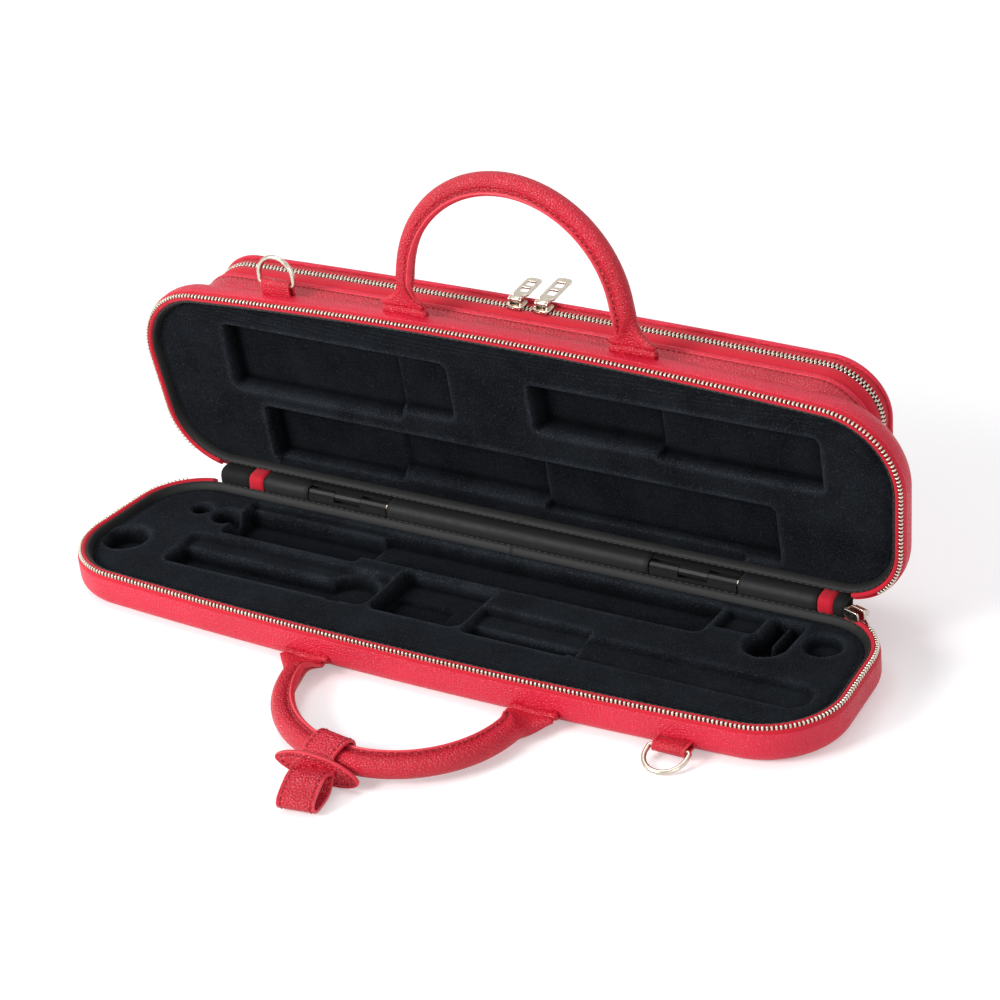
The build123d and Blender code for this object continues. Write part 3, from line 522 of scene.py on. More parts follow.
def leather(name, light, dark, cell, depth, rough, crease_shade=0.5, veil=0.5):
    """Grained leather: rounded pebbles of a size in metres with creases between them, with painted shade darkening the
    creases and a painted pinkish highlight on each pebble's top.
    """
    finish = Finish(name)
    pebbles = finish.cells(1 / cell, "F1", randomness=0.85)
    creases = finish.cells(1 / cell, "DISTANCE_TO_EDGE", randomness=0.85)
    fine = finish.noise(7 / cell, 3.0)
    cloud = finish.noise(30.0, 3.0)
    tone = finish.ramp(cloud, [(0.3, dark), (0.7, light)])
    # Painted shade: the creases between pebbles are darkened and multiplied into the colour below.
    shade = finish.ramp(creases, [(0.0, (crease_shade,) * 3), (0.14, (1.0, 1.0, 1.0))])
    # Painted highlight: each pebble's top is mixed toward a pale pinkish red.
    painted_highlight = finish.ramp(pebbles, [(0.0, (0.30,) * 3), (0.32, (0.0, 0.0, 0.0))])
    tone = finish.mix(painted_highlight, tone, (0.80, 0.07, 0.11))
    node = finish.add("ShaderNodeMix", data_type="RGBA", blend_type="MULTIPLY")
    node.inputs[0].default_value = 0.7
    finish.link(tone, node.inputs[6])
    finish.link(shade, node.inputs[7])
    finish.link(node.outputs[2], finish.shader.inputs["Base Color"])
    finish.link(finish.ramp(fine, [(0.2, (rough - 0.07,) * 3), (0.8, (rough + 0.09,) * 3)]), finish.shader.inputs["Roughness"])
    finish.bump(finish.ramp(pebbles, [(0.0, (1.0, 1.0, 1.0)), (0.75, (0.0, 0.0, 0.0))]), 1.0, depth)
    finish.bump(finish.ramp(creases, [(0.0, (0.0, 0.0, 0.0)), (0.2, (1.0, 1.0, 1.0))]), 0.8, depth * 0.7)
    finish.bump(fine, 0.35, depth * 0.3)
    finish.set(Specular_IOR_Level=veil)
    return finish.material


def woven(name, light, dark, pitch, slant, depth, rough, sheen=0.3):
    """Twill tape with slanted ribs at a pitch in metres."""
    finish = Finish(name)
    coords = finish.add("ShaderNodeUVMap", uv_map="cloth")
    mapping = finish.add("ShaderNodeMapping")
    mapping.inputs["Rotation"].default_value = (0.0, 0.0, slant)
    finish.link(coords.outputs["UV"], mapping.inputs["Vector"])
    wave = finish.add("ShaderNodeTexWave", bands_direction="X", Scale=0.314 / pitch, Distortion=0.6)
    wave.inputs["Detail"].default_value = 1.0
    wave.inputs["Detail Scale"].default_value = 3.0
    finish.link(mapping.outputs["Vector"], wave.inputs["Vector"])
    ribs = wave.outputs["Fac"]
    fluff = finish.noise(2600.0, 2.0)
    finish.link(finish.ramp(ribs, [(0.15, dark), (0.75, light)]), finish.shader.inputs["Base Color"])
    finish.bump(ribs, 0.8, depth)
    finish.bump(fluff, 0.3, depth * 0.5)
    finish.set(Roughness=rough, Sheen_Weight=sheen, Sheen_Roughness=0.5, Specular_IOR_Level=0.3)
    return finish.material


def plush(name, light, dark):
    """Short black pile with lint-fine flecks and patchy nap, with painted light and shade: lighter on crests, darker in
    wells and corners, and light and dark ribs near its edge.
    """
    finish = Finish(name)
    pile = finish.noise(1500.0, 2.0, 0.7)
    nap = finish.noise(45.0, 4.0, 0.62)
    flecks = finish.noise(1500.0, 1.0, 0.6)
    tone = finish.ramp(nap, [(0.36, dark), (0.66, light)])
    spark = finish.ramp(flecks, [(0.54, (0.0, 0.0, 0.0)), (0.78, (0.8, 0.8, 0.8))])
    colour = finish.mix(spark, tone, (0.080, 0.090, 0.105))
    painted_pile_light = finish.add("ShaderNodeAttribute", attribute_name="painted_pile_light").outputs["Fac"]
    # Painted light and shade: the pile colour is multiplied by the per-point light share, dark in wells and full on
    # crests.
    node = finish.add("ShaderNodeMix", data_type="RGBA", blend_type="MULTIPLY")
    node.inputs[0].default_value = 1.0
    finish.link(colour, node.inputs[6])
    finish.link(finish.ramp(painted_pile_light, [(0.0, (0.12,) * 3), (0.5, (0.38,) * 3), (1.0, (1.0, 1.0, 1.0))]), node.inputs[7])
    finish.link(node.outputs[2], finish.shader.inputs["Base Color"])
    finish.bump(nap, 0.3, 0.0008)
    finish.bump(pile, 0.9, 0.0004)
    finish.set(Roughness=0.95, Specular_IOR_Level=0.02, Sheen_Weight=0.03, Sheen_Roughness=0.5)
    finish.shader.inputs["Sheen Tint"].default_value = (0.7, 0.82, 1.0, 1.0)
    return finish.material


def metal(name, light, dark, rough):
    """Plated metal with faint patches, a little lighter or darker and rougher or smoother, at random."""
    finish = Finish(name)
    mottle = finish.noise(420.0, 4.0, 0.6)
    finish.link(finish.ramp(mottle, [(0.3, dark), (0.7, light)]), finish.shader.inputs["Base Color"])
    finish.link(finish.ramp(mottle, [(0.25, (rough - 0.05,) * 3), (0.8, (rough + 0.08,) * 3)]), finish.shader.inputs["Roughness"])
    finish.bump(mottle, 0.05, 0.00005)
    finish.set(Metallic=1.0)
    return finish.material


def coated(name, light, dark, scale, depth, rough, coat=0.0):
    """Vinyl or painted edge: close colour patches and a soft surface."""
    finish = Finish(name)
    skin = finish.noise(scale, 3.0, 0.55)
    finish.link(finish.ramp(skin, [(0.3, dark), (0.7, light)]), finish.shader.inputs["Base Color"])
    finish.link(finish.ramp(skin, [(0.2, (rough - 0.06,) * 3), (0.8, (rough + 0.08,) * 3)]), finish.shader.inputs["Roughness"])
    finish.bump(skin, 0.4, depth)
    finish.set(Coat_Weight=coat, Coat_Roughness=0.3)
    return finish.material


SHELL_RED = leather("shell_leather", (0.72, 0.012, 0.046), (0.64, 0.008, 0.036), 0.0014, 0.00022, 0.40, 0.85, 0.42)
PEBBLED_RED = leather("pebbled_leather", (0.70, 0.010, 0.038), (0.58, 0.004, 0.022), 0.0015, 0.00036, 0.34, 0.62, 0.5)
HANDLE_RED = leather("handle_leather", (0.66, 0.008, 0.032), (0.54, 0.003, 0.018), 0.0014, 0.00026, 0.35, 0.68, 0.45)
TAPE_RED = woven("red_zip_tape", (0.74, 0.006, 0.03), (0.44, 0.003, 0.014), 0.0007, 0.8, 0.00012, 0.7, 0.1)
SATIN = woven("black_satin", (0.0085, 0.0082, 0.0078), (0.0045, 0.0045, 0.0042), 0.00035, 0.6, 0.00004, 0.55, 0.02)
STAY_BLACK = woven("black_stay_tape", (0.008, 0.008, 0.009), (0.004, 0.004, 0.004), 0.0008, 0.0, 0.00012, 0.8, 0.0)
PLUSH = plush("black_plush", (0.023, 0.027, 0.033), (0.011, 0.0125, 0.016))
VINYL = coated("black_vinyl", (0.0036, 0.0038, 0.0041), (0.0022, 0.0024, 0.0026), 300.0, 0.0001, 0.7)
NICKEL = metal("champagne_nickel", (0.66, 0.60, 0.51), (0.52, 0.46, 0.38), 0.24)
BLACK_PLATE = coated("black_hinge_plate", (0.004, 0.004, 0.0044), (0.0025, 0.0025, 0.0028), 700.0, 0.00005, 0.6)
EDGE_RED = coated("painted_edge", (0.76, 0.05, 0.075), (0.66, 0.03, 0.05), 500.0, 0.00005, 0.42)
THREAD_RED = coated("red_thread", (0.26, 0.003, 0.010), (0.16, 0.002, 0.006), 2400.0, 0.00006, 0.55)
THREAD_GREY = coated("grey_thread", (0.075, 0.072, 0.066), (0.04, 0.038, 0.034), 2400.0, 0.00006, 0.6)


def dress(material, *names):
    """Give carried-over solids a finish."""
    for name in names:
        for slot in nodes[name].material_slots:
            slot.material = material


# Shells, tapes and bindings


def shell_profile(edge_round, rim_low):
    """Outer face of a half from inside the rim over its fold and down round the edge to the floor."""
    fold = 0.55
    rim = [(SKIN + WALL_SKIN + 0.4, RABBET), (SKIN + WALL_SKIN + 0.1, rim_low - fold)]
    rim += arc((SKIN + fold, rim_low - fold), fold, 0, 180, 7)
    rim = [(inset, height) for inset, height in rim]
    edge = arc((SKIN + edge_round, edge_round), edge_round, 180, 270, 14)
    return rim + edge + [(SKIN + edge_round + 4.0, 0.0)]


def half_shell(name, edge_round, place, body, node):
    """Moulded shell with its lined inside and closed bottom."""
    inner = [(SKIN + edge_round + 4.0, 1.4), (SKIN + edge_round * 0.6, 2.4), (SKIN + WALL_SKIN + 0.6, edge_round)]
    profile = inner + shell_profile(edge_round, RIM - 0.35)
    count = len(case_points)
    faces = grid_faces(len(profile), count, True)
    faces += [tuple(range(count)), tuple(range((len(profile) - 1) * count, len(profile) * count))]
    return solid_object(name, (swept(case_line, profile), faces), place, SHELL_RED, body, (node,))


half_shell("tray_shell_leather", 8.0, on_tray, "base", "base_shell")
half_shell("lid_shell_leather", 14.0, on_lid, "lid", "lid_shell")


def zipped(x, y):
    """True where the main zip's tape runs."""
    return y < 0 or abs(x) > ZIP_END


def toothed(x, y):
    """True where the main zip has teeth."""
    return y < 0 or abs(x) > ZIP_END + 14.0


zip_line = open_line(case_line, zipped)
tape_profile = [
    (1.5, RABBET + 0.4), (1.15, 17.2), (1.1, 18.6), (1.3, 18.95), (1.7, 18.95), (1.9, 18.6),
    (3.1, 18.6), (3.2, 20.0), (3.5, 20.6), (4.2, 20.55), (5.0, 20.1), (5.4, 19.4), (5.4, 16.5), (5.0, RABBET + 0.4),
]
binding_profile = [
    (5.0, RABBET), (5.1, 18.8), (5.3, 19.6), (5.9, 19.8), (6.6, 19.4), (7.3, 18.5), (7.9, 17.3), (8.4, 15.8), (8.5, RABBET),
]
for half, place, body in (("tray", on_tray, "base"), ("lid", on_lid, "lid")):
    band_piece(f"{half}_zip_tape", zip_line, tape_profile, TAPE_RED, body, place, (f"{body}_zip_tape",), closed=False)
    band_piece(f"{half}_binding", case_line, binding_profile, SATIN, body, place, (f"{body}_binding",))
    thread = stitches(tail(case_line, 5.85, 19.82), 2.2, 3.6, 0.15, closed=True)
    solid_object(f"{half}_binding_stitches", thread, place, THREAD_GREY, body)


# Zip teeth


def tooth_points():
    """One rounded tooth: X along the zip, Y out of the case, Z toward the other row."""
    turns = np.radians(np.arange(8) * 45.0 + 22.5)
    rows = []
    for height, half_along, half_out in (
        (0.0, 0.50, 0.95), (0.2, 0.60, 1.05), (1.4, 0.62, 1.05), (2.0, 0.56, 0.9), (2.35, 0.42, 0.62), (2.5, 0.16, 0.25),
    ):
        square = np.abs(np.cos(turns)) ** 0.5 * np.sign(np.cos(turns)), np.abs(np.sin(turns)) ** 0.5 * np.sign(np.sin(turns))
        rows.append(np.column_stack([half_along * square[0], half_out * square[1], np.full(8, height)]))
    faces = grid_faces(len(rows), 8, True)
    faces += [tuple(range(8))[::-1], tuple(range(8 * (len(rows) - 1), 8 * len(rows)))]
    return np.concatenate(rows), faces


def at_length(line, inset, lengths):
    """Points and outward normals at distances along an inset of a line."""
    base = np.column_stack([line[0] - line[1] * inset, line[1]])
    closed = np.vstack([base, base[:1]])
    along = np.append(line[2], line[3])
    values = [np.interp(lengths % line[3], along, closed[:, column]) for column in range(4)]
    points, normals = np.stack(values[:2], axis=1), np.stack(values[2:], axis=1)
    return points, normals / np.linalg.norm(normals, axis=1, keepdims=True)


def tooth_row(name, line, inset, low, pitch, phase, keep, place, body, node, turned=False, slim=1.0):
    """A row of rounded metal teeth."""
    count = round(line[3] / pitch)
    lengths = (np.arange(count) + phase) * line[3] / count
    points, normals = at_length(line, inset, lengths)
    allowed = np.array([keep(x, y) for x, y in points])
    form, form_faces = tooth_points()
    form = form * (slim, 1, 1)
    if turned:
        form = form * (1, 1, -1) + (0, 0, 2.5)
    verts, faces = [], []
    for (x, y), (out_x, out_y) in zip(points[allowed], normals[allowed]):
        start = len(verts) * len(form)
        along = np.array([-out_y, out_x])
        flat = form[:, :1] * along + form[:, 1:2] * np.array([out_x, out_y]) + (x, y)
        verts.append(np.column_stack([flat, form[:, 2] + low]))
        faces += [tuple(start + index for index in face) for face in form_faces]
    return solid_object(name, (np.concatenate(verts), faces), place, NICKEL, body, (node,))


TOOTH_PITCH = 2.2
tooth_row("tray_zip_teeth", case_line, TOOTH_LINE, 18.45, TOOTH_PITCH, 0.25, toothed, on_tray, "base", "base_zip_teeth")
tooth_row("lid_zip_teeth", case_line, TOOTH_LINE, 18.45, TOOTH_PITCH, 0.75, toothed, on_lid, "lid", "lid_zip_teeth")


# Moulded plush inserts


def smooth_share(value):
    """Smooth step from 0 to 1."""
    value = np.clip(value, 0.0, 1.0)
    return value * value * (3 - 2 * value)


def box_distance(x, y, x_range, y_range, corner):
    """Signed distance to a rounded rectangle, negative inside."""
    half_x, half_y = (x_range[1] - x_range[0]) / 2 - corner, (y_range[1] - y_range[0]) / 2 - corner
    away_x = np.abs(x - sum(x_range) / 2) - half_x
    away_y = np.abs(y - sum(y_range) / 2) - half_y
    outside = np.hypot(np.maximum(away_x, 0), np.maximum(away_y, 0))
    return outside + np.minimum(np.maximum(away_x, away_y), 0) - corner


def circle_distance(x, y, centre_x, centre_y, radius):
    """Signed distance to a circle, negative inside."""
    return np.hypot(x - centre_x, y - centre_y) - radius


def sunk(height, distance, floor, wall=1.6):
    """Lower the surface to a floor inside a shape, with a rounded wall."""
    share = smooth_share(0.5 - distance / wall)
    return np.where(floor < height, height + (floor - height) * share, height)


def raised(height, distance, top, wall=1.6):
    """Lift the surface to a top inside a shape, with a rounded wall."""
    share = smooth_share(0.5 - distance / wall)
    return np.where(top > height, height + (top - height) * share, height)


def edge_distance(x, y, inset):
    """Distance inside an inset of the case's plan, negative outside."""
    line = case_points - case_normals * inset
    following = np.roll(line, -1, axis=0)
    best = np.full(x.shape, 1e9)
    for (x0, y0), (x1, y1) in zip(line, following):
        run_x, run_y = x1 - x0, y1 - y0
        share = np.clip(((x - x0) * run_x + (y - y0) * run_y) / (run_x**2 + run_y**2), 0, 1)
        best = np.minimum(best, np.hypot(x - x0 - share * run_x, y - y0 - share * run_y))
    inside = np.ones(x.shape, bool)
    for (x0, y0), (nx, ny) in zip(line[::3], case_normals[::3]):
        inside &= (x - x0) * nx + (y - y0) * ny <= 0.02
    return np.where(inside, best, -best)


def tray_relief(x, y):
    """Depth of the tray insert's pockets below its surface, as a height."""
    top = INSERT_TOP
    h = np.full(x.shape, top)
    h = sunk(h, box_distance(x, y, (-164, -42), (-20.5, 8), 5), top - 3.2, 3.0)
    h = sunk(h, box_distance(x, y, (-163, -46), (-20.5, -2.5), 3), top - 10.2, 2.2)
    h = sunk(h, circle_distance(x, y, -58.5, -7.5, 14.2), top - 10.2, 2.0)
    h = sunk(h, box_distance(x, y, (-153, 123), (38, 46.5), 2), top - 3.0, 1.8)
    h = sunk(h, box_distance(x, y, (-152, -69), (14, 42), 3), top - 11.2, 2.2)
    h = sunk(h, box_distance(x, y, (-70, 123), (20, 46.0), 4), top - 8.2, 2.6)
    h = sunk(h, box_distance(x, y, (-39, 13), (-20.5, 18), 5), top - 9.0, 2.2)
    h = sunk(h, box_distance(x, y, (-36, -4), (-20, 4), 3), top - 11.4, 1.8)
    h = sunk(h, box_distance(x, y, (16, 76), (-22.5, 1), 2.5), top - 4.0, 1.8)
    h = sunk(h, box_distance(x, y, (17, 76), (-22, -12.5), 2.5), top - 10.0, 2.2)
    h = sunk(h, box_distance(x, y, (74, 197.5), (-22, -3.5), 8), top - 3.0, 3.0)
    h = sunk(h, circle_distance(x, y, -195.5, -10, 11.2), top - 9.0, 2.6)
    h = sunk(h, circle_distance(x, y, -176, 30, 4.8), top - 8.0, 2.2)
    h = sunk(h, circle_distance(x, y, -159, 28, 6.8), top - 8.0, 2.2)
    h = sunk(h, circle_distance(x, y, 157.5, 22, 10.3), top - 11.0, 2.2)
    h = sunk(h, box_distance(x, y, (151.5, 167.5), (20, 44.5), 3), top - 10.0, 2.0)
    h = sunk(h, box_distance(x, y, (127.5, 147), (28, 44), 2), top - 4.0, 1.8)
    h = sunk(h, circle_distance(x, y, 183, 31, 8.8), top - 5.0, 2.6)
    h = raised(h, box_distance(x, y, (158.4, 160.4), (24.5, 44.5), 0.8), top - 3.0, 1.4)
    return h


def lid_relief(x, y):
    """Height of the lid insert's surface, drawn as if for a tray."""
    top = INSERT_TOP
    h = np.full(x.shape, top)
    h = sunk(h, box_distance(x, y, (-164.5, -61.5), (-32.5, 3.8), 2.5), top - 9.0, 2.0)
    h = sunk(h, box_distance(x, y, (-66, -30), (-33, -1.2), 4), top - 6.0, 2.4)
    h = sunk(h, box_distance(x, y, (-148, -70), (14, 46), 2.5), top - 10.0, 2.0)
    h = sunk(h, box_distance(x, y, (-70.5, 15.2), (14, 42), 2.5), top - 12.3, 2.2)
    h = sunk(h, box_distance(x, y, (14.5, 145.5), (14, 46), 2.5), top - 8.0, 1.8)
    h = sunk(h, box_distance(x, y, (-147.5, 126), (38, 50), 2.5), top - 3.0, 1.8)
    h = sunk(h, box_distance(x, y, (18, 86.5), (-30, -4.5), 2.5), top - 11.0, 2.0)
    h = sunk(h, box_distance(x, y, (85.5, 172.5), (-30, -1.5), 2.5), top - 8.0, 1.8)
    return h


def skirted(points, faces, low=2.6):
    """A surface closed by a skirt and a flat underside."""
    shape = bmesh.new()
    verts = [shape.verts.new(point) for point in points]
    for face in faces:
        shape.faces.new([verts[index] for index in face])
    rim = [edge for edge in shape.edges if edge.is_boundary]
    made = bmesh.ops.extrude_edge_only(shape, edges=rim)["geom"]
    for vert in made:
        if isinstance(vert, bmesh.types.BMVert):
            vert.co.z = low
    bmesh.ops.holes_fill(shape, edges=[edge for edge in shape.edges if edge.is_boundary], sides=0)
    shape.verts.index_update()
    closed_points = np.array([vert.co[:] for vert in shape.verts])
    closed_faces = [tuple(vert.index for vert in face.verts) for face in shape.faces]
    shape.free()
    return closed_points, closed_faces


def softened(field, reach):
    """A grid averaged over a square of cells."""
    for axis in (0, 1):
        field = sum(np.roll(field, shift, axis) for shift in range(-reach, reach + 1)) / (2 * reach + 1)
    return field


def pile_light_share(height, near, front):
    """Painted light and shade on the pile: brighter on crests, darker in corners and wells, in light and dark ribs near
    the rim.
    """
    crest = np.clip((height - softened(softened(height, 2), 2)) / 1.6, -1.0, 1.0)
    depth = np.clip((INSERT_TOP - softened(height, 3)) / 12.0, 0.0, 1.0)
    lines = np.sin(near * 2 * np.pi / 1.7) * smooth_share((near - 1.0) / 2.0) * smooth_share((11.0 - near) / 3.0)
    return np.clip(0.5 + 0.42 * crest - 0.22 * depth + 0.16 * lines * front, 0.0, 1.0)


def insert_piece(name, relief, place, body, node):
    """Plush surface over a moulded insert, rolling down to its edge."""
    step = 1.0
    xs = np.arange(-212.0, 212.5, step)
    ys = np.arange(-51.0, 51.0, step)
    x, y = (values.ravel() for values in np.meshgrid(xs, ys))
    inside = edge_distance(x, y, INSERT)
    surface = relief(x, y)
    shape = (len(ys), len(xs))
    # Painted light and shade of the pile, stored per point for the plush material.
    pile = pile_light_share(surface.reshape(shape), inside.reshape(shape), (y < -20).reshape(shape)).ravel()
    roll = 5.0
    fall = np.clip((roll - inside) / roll, 0.0, 1.0)
    height = np.maximum(surface - 3.4 * (1 - np.sqrt(1 - fall**2)), 4.6)
    height = np.where(inside < 1.2, np.maximum(height, 16.2), height)
    keep = (inside > -0.6).reshape(shape)
    index = np.arange(len(x)).reshape(shape)
    corners = [index[:-1, :-1], index[:-1, 1:], index[1:, 1:], index[1:, :-1]]
    whole = np.all([keep.ravel()[corner] for corner in corners], axis=0)
    faces = np.stack([corner[whole] for corner in corners], axis=1)
    used, renumbered = np.unique(faces, return_inverse=True)
    points = np.column_stack([x, y, height])[used]
    form = skirted(points, renumbered.reshape(faces.shape).tolist())
    piece = solid_object(name, form, place, PLUSH, body, (node,))
    painted_pile_light = piece.data.attributes.new("painted_pile_light", "FLOAT", "POINT")
    # The skirt gets a fixed, darker painted shade.
    values = np.full(len(form[0]), 0.3)
    values[: len(used)] = pile[used]
    painted_pile_light.data.foreach_set("value", values.astype(np.float32))
    return piece


insert_piece("tray_plush", tray_relief, on_tray, "base", "base_insert")
insert_piece("lid_plush", lid_relief, on_lid, "lid", "lid_insert")


# Hinge side: folding vinyl, stays and tabs across the gap


def back_edge(x, inset):
    """Hinge side of an inset of the case's plan at distances along it."""
    flat = case_points - case_normals * inset
    rear = flat[(flat[:, 1] > 30)]
    order = np.argsort(rear[:, 0])
    return np.interp(x, rear[order, 0], rear[order, 1])


def hinge_backing():
    """Black cloth behind the hinges, from wall to wall outside the knuckles."""
    tray = [(57.35, 12.5), (57.4, 15.0), (57.7, 17.4)]
    lid_side = opened(np.array([(0.0, y, 2 * CLOSING - z) for y, z in tray[::-1]]))[:, 1:]
    line = np.vstack([tray, [(59.6, 18.6), (62.2, 18.9)], lid_side])
    line = smooth_path(line, 5)
    runs = np.gradient(line, axis=0)
    runs /= np.linalg.norm(runs, axis=1, keepdims=True)
    side = np.column_stack([-runs[:, 1], runs[:, 0]]) * 0.3
    ring = np.vstack([line + side, (line - side)[::-1]])
    stations = np.linspace(-181.0, 183.0, 122)
    rows = [np.column_stack([np.full(len(ring), x), ring]) for x in stations]
    across = np.concatenate([[0.0], np.cumsum(np.linalg.norm(np.diff(ring, axis=0), axis=1))])
    coords = np.concatenate([np.column_stack([np.full(len(ring), x), across]) for x in stations])
    piece = solid_object("hinge_backing", lofted(rows), on_tray, STAY_BLACK, None, (), coords=coords)
    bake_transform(piece)


hinge_backing()


def hinge_fold(name, x_range, material, stands_for, thick=0.7, inset=2.4):
    """A flexible band sewn into both rims, turning over the hinge line."""
    low_x, high_x = x_range
    stations = np.linspace(low_x, high_x, max(3, round((high_x - low_x) / 3.0) + 1))
    rows, lengths = [], []
    for x in stations:
        y = float(back_edge(x, inset))
        tray = [(y, height) for height in (13.8, 16.0, 18.0, 19.6, 20.6)]
        lid_points = opened(np.array([(x, y, 2 * CLOSING - height) for height in (20.6, 19.6, 18.0, 16.0, 13.8)]))[:, 1:]
        first, last = np.array(tray[-1]), lid_points[0]
        corner = np.array([first[0] - 0.1, last[1] - 0.1])
        share = np.linspace(0, 1, 9)[1:-1, None]
        bend = (1 - share) ** 2 * first + 2 * share * (1 - share) * corner + share**2 * last
        line = np.vstack([tray, bend, lid_points])
        runs = np.gradient(line, axis=0)
        runs /= np.linalg.norm(runs, axis=1, keepdims=True)
        side = np.column_stack([-runs[:, 1], runs[:, 0]]) * thick / 2
        ring = np.vstack([line + side, (line - side)[::-1]])
        rows.append(np.column_stack([np.full(len(ring), x), ring]))
        across = np.concatenate([[0.0], np.cumsum(np.linalg.norm(np.diff(ring, axis=0), axis=1))])
        lengths.append(np.column_stack([np.full(len(ring), x), across]))
    piece = solid_object(name, lofted(rows), on_tray, material, None, stands_for, coords=np.concatenate(lengths))
    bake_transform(piece)
    return piece


hinge_fold("hinge_fold_middle", (-76.3, 76.3), VINYL, ("base_hinge_strip", "lid_hinge_strip"))
hinge_fold("hinge_fold_left", (-153.3, -125.7), VINYL, ())
hinge_fold("hinge_fold_right", (125.7, 167.3), VINYL, ())
hinge_fold("left_stay", (-181.0, -163.1), STAY_BLACK, ("base_stays", "lid_stays"))
hinge_fold("right_stay", (176.1, 183.0), STAY_BLACK, ())
hinge_fold("left_tab", (-162.9, -154.0), TAPE_RED, ("base_end_tabs", "lid_end_tabs"))
hinge_fold("right_tab", (168.0, 175.9), TAPE_RED, ())


# Outer pocket on the lid


def over_lid(points):
    """Points with their height above the closing plane, outside the open lid."""
    return opened(points + (0.0, 0.0, CLOSING))


def in_zip(x, y):
    """True where the pocket opens by its zip."""
    return y < 14.0


def in_fold(x, y):
    """True where the pocket's panel is sewn on."""
    return y > 13.0


pocket_zip_line = open_line(pocket_line, in_zip)
pocket_fold_line = open_line(pocket_line, in_fold)


def clear_of_wells(points):
    """Points of the pocket's wall, its foot kept above the insert's wells."""
    height = np.where((points[:, 1] > 30) & (points[:, 2] < 20.5), 20.5, points[:, 2])
    return over_lid(np.column_stack([points[:, :2], height]))


def pocket_band(name, line, profile, material, body, stands_for, closed=False):
    """A closed profile carried round the pocket's plan."""
    form, coords = belt(line, profile, closed)
    return solid_object(name, form, clear_of_wells, material, body, stands_for, coords=coords)


gusset_profile = [(0.3, 14.0), (0.05, 19.0), (-0.3, 22.0), (-0.35, 24.4), (-0.1, 25.8), (0.45, 26.7), (1.6, 26.7), (1.6, 14.0)]
wall_profile = [(0.2, 26.0), (-0.15, 29.0), (-0.3, 35.0), (-0.1, 41.0), (0.5, 43.9), (1.6, 43.9), (1.6, 26.0)]
pocket_band("pocket_gusset_leather", pocket_line, gusset_profile, PEBBLED_RED, "lid", ("pocket_gusset",), True)
pocket_band("pocket_fold_leather", pocket_fold_line, wall_profile, PEBBLED_RED, "lid", ())
pocket_band("pocket_cord_piping", pocket_line, [(0.5 + a, 27.75 + b) for a, b in circle(1.25, 10)], SHELL_RED, "lid", ("pocket_piping",), True)
pocket_band("pocket_seam_thread", pocket_line, [(0.0 + a, 26.35 + b) for a, b in circle(0.3, 6)], EDGE_RED, "lid", (), True)
tape_loop = [(0.3, 28.4), (0.3, 36.9), (0.45, 37.2), (1.05, 37.2), (1.2, 36.9), (1.2, 28.4)]
pocket_band("pocket_inner_woven_tape", pocket_zip_line, tape_loop, TAPE_RED, "lid", ("pocket_inner_tape",))
rim_loop = [(0.3, 41.0), (0.3, 44.6), (1.2, 44.6), (1.2, 41.0), (1.05, 40.7), (0.45, 40.7)]
pocket_band("pocket_outer_woven_tape", pocket_zip_line, rim_loop, TAPE_RED, "pocket_flap", ("pocket_outer_tape",))


def pocket_panel():
    """Padded leather panel with a rolled edge."""
    rings = []
    for inset, height in (
        (0.2, 44.3), (-0.8, 44.35), (-1.15, 44.8), (-1.25, 45.5), (-1.05, 46.3), (-0.5, 46.85), (0.5, 47.08),
        (2.2, 47.05), (2.9, 46.85), (3.6, 47.1), (6.0, 47.5), (10.0, 47.75), (15.0, 47.85),
    ):
        rings.append(tail(pocket_line, inset, height))
    solid_object("pocket_panel_leather", lofted(rings), over_lid, SHELL_RED, "pocket_flap", ("pocket_panel",))
    thread = stitches(tail(pocket_line, 2.9, 46.95), 2.2, 3.4, 0.26, closed=True)
    solid_object("pocket_panel_stitches", thread, over_lid, THREAD_RED, "pocket_flap")


pocket_panel()
solid_object("pocket_gusset_stitches", stitches(tail(pocket_line, -0.38, 24.9), 1.9, 3.0, 0.24, closed=True), over_lid, THREAD_RED, "lid")
tooth_row("pocket_inner_zip_teeth", pocket_line, 0.8, 36.85, TOOTH_PITCH, 0.25, in_zip, over_lid, "lid", "pocket_inner_teeth", slim=0.8)
tooth_row("pocket_outer_zip_teeth", pocket_line, 0.8, 38.5, TOOTH_PITCH, 0.75, in_zip, over_lid, "pocket_flap", "pocket_outer_teeth", turned=True, slim=0.8)


# Rolled handles

FOOT_Y, HANDLE_X, FLARE = -62.019, 13.0, 15.0


def on_handle(height, lean, lid):
    """Placing of a handle drawn in its own plane: X across, Y away from the wall."""
    cos, sin = math.cos(math.radians(lean)), math.sin(math.radians(lean))

    def place(points):
        x, y, z = points.T
        world = np.column_stack([x + HANDLE_X, -y * cos - z * sin + FOOT_Y, y * sin - z * cos + height])
        return over_lid(world) if lid else world

    return place


def handle_arch(side, straight, slope, apex):
    """Centre, radius and turn of one half of the arch, and where its leg stands."""
    lean = math.radians(slope)
    leg = 64.0 - math.tan(lean) * FLARE
    radius = (leg - side * apex[0] - straight * math.sin(lean)) / math.cos(lean)
    return (apex[0], apex[1] - radius), radius, math.pi / 2 - lean, leg


def leg_stations(side, straight, slope, apex):
    """Centres, inward directions and flare shares from the foot to the top."""
    centre, radius, turn, leg = handle_arch(side, straight, slope, apex)
    lean = math.radians(slope)
    stations = []
    for y in (-2.2, -1.9, -1.2, 0.0, 1.2, 2.6, 4.2, 6.0, 8.0, 10.0, 12.0, 14.0):
        share = max(y, 0.0) / FLARE
        x = side * (64.0 + (leg - 64.0) * share)
        tilt = lean * share
        stations.append(((x, y), (-side * math.cos(tilt), -math.sin(tilt)), min(max(y, 0.0) / 14.0, 1.0), y))
    for number in range(25):
        angle = turn * (1 - number / 24)
        outward = (side * math.sin(angle), math.cos(angle))
        point = (centre[0] + radius * outward[0], centre[1] + radius * outward[1])
        stations.append((point, (-outward[0], -outward[1]), 1.0, 99.0))
    return stations


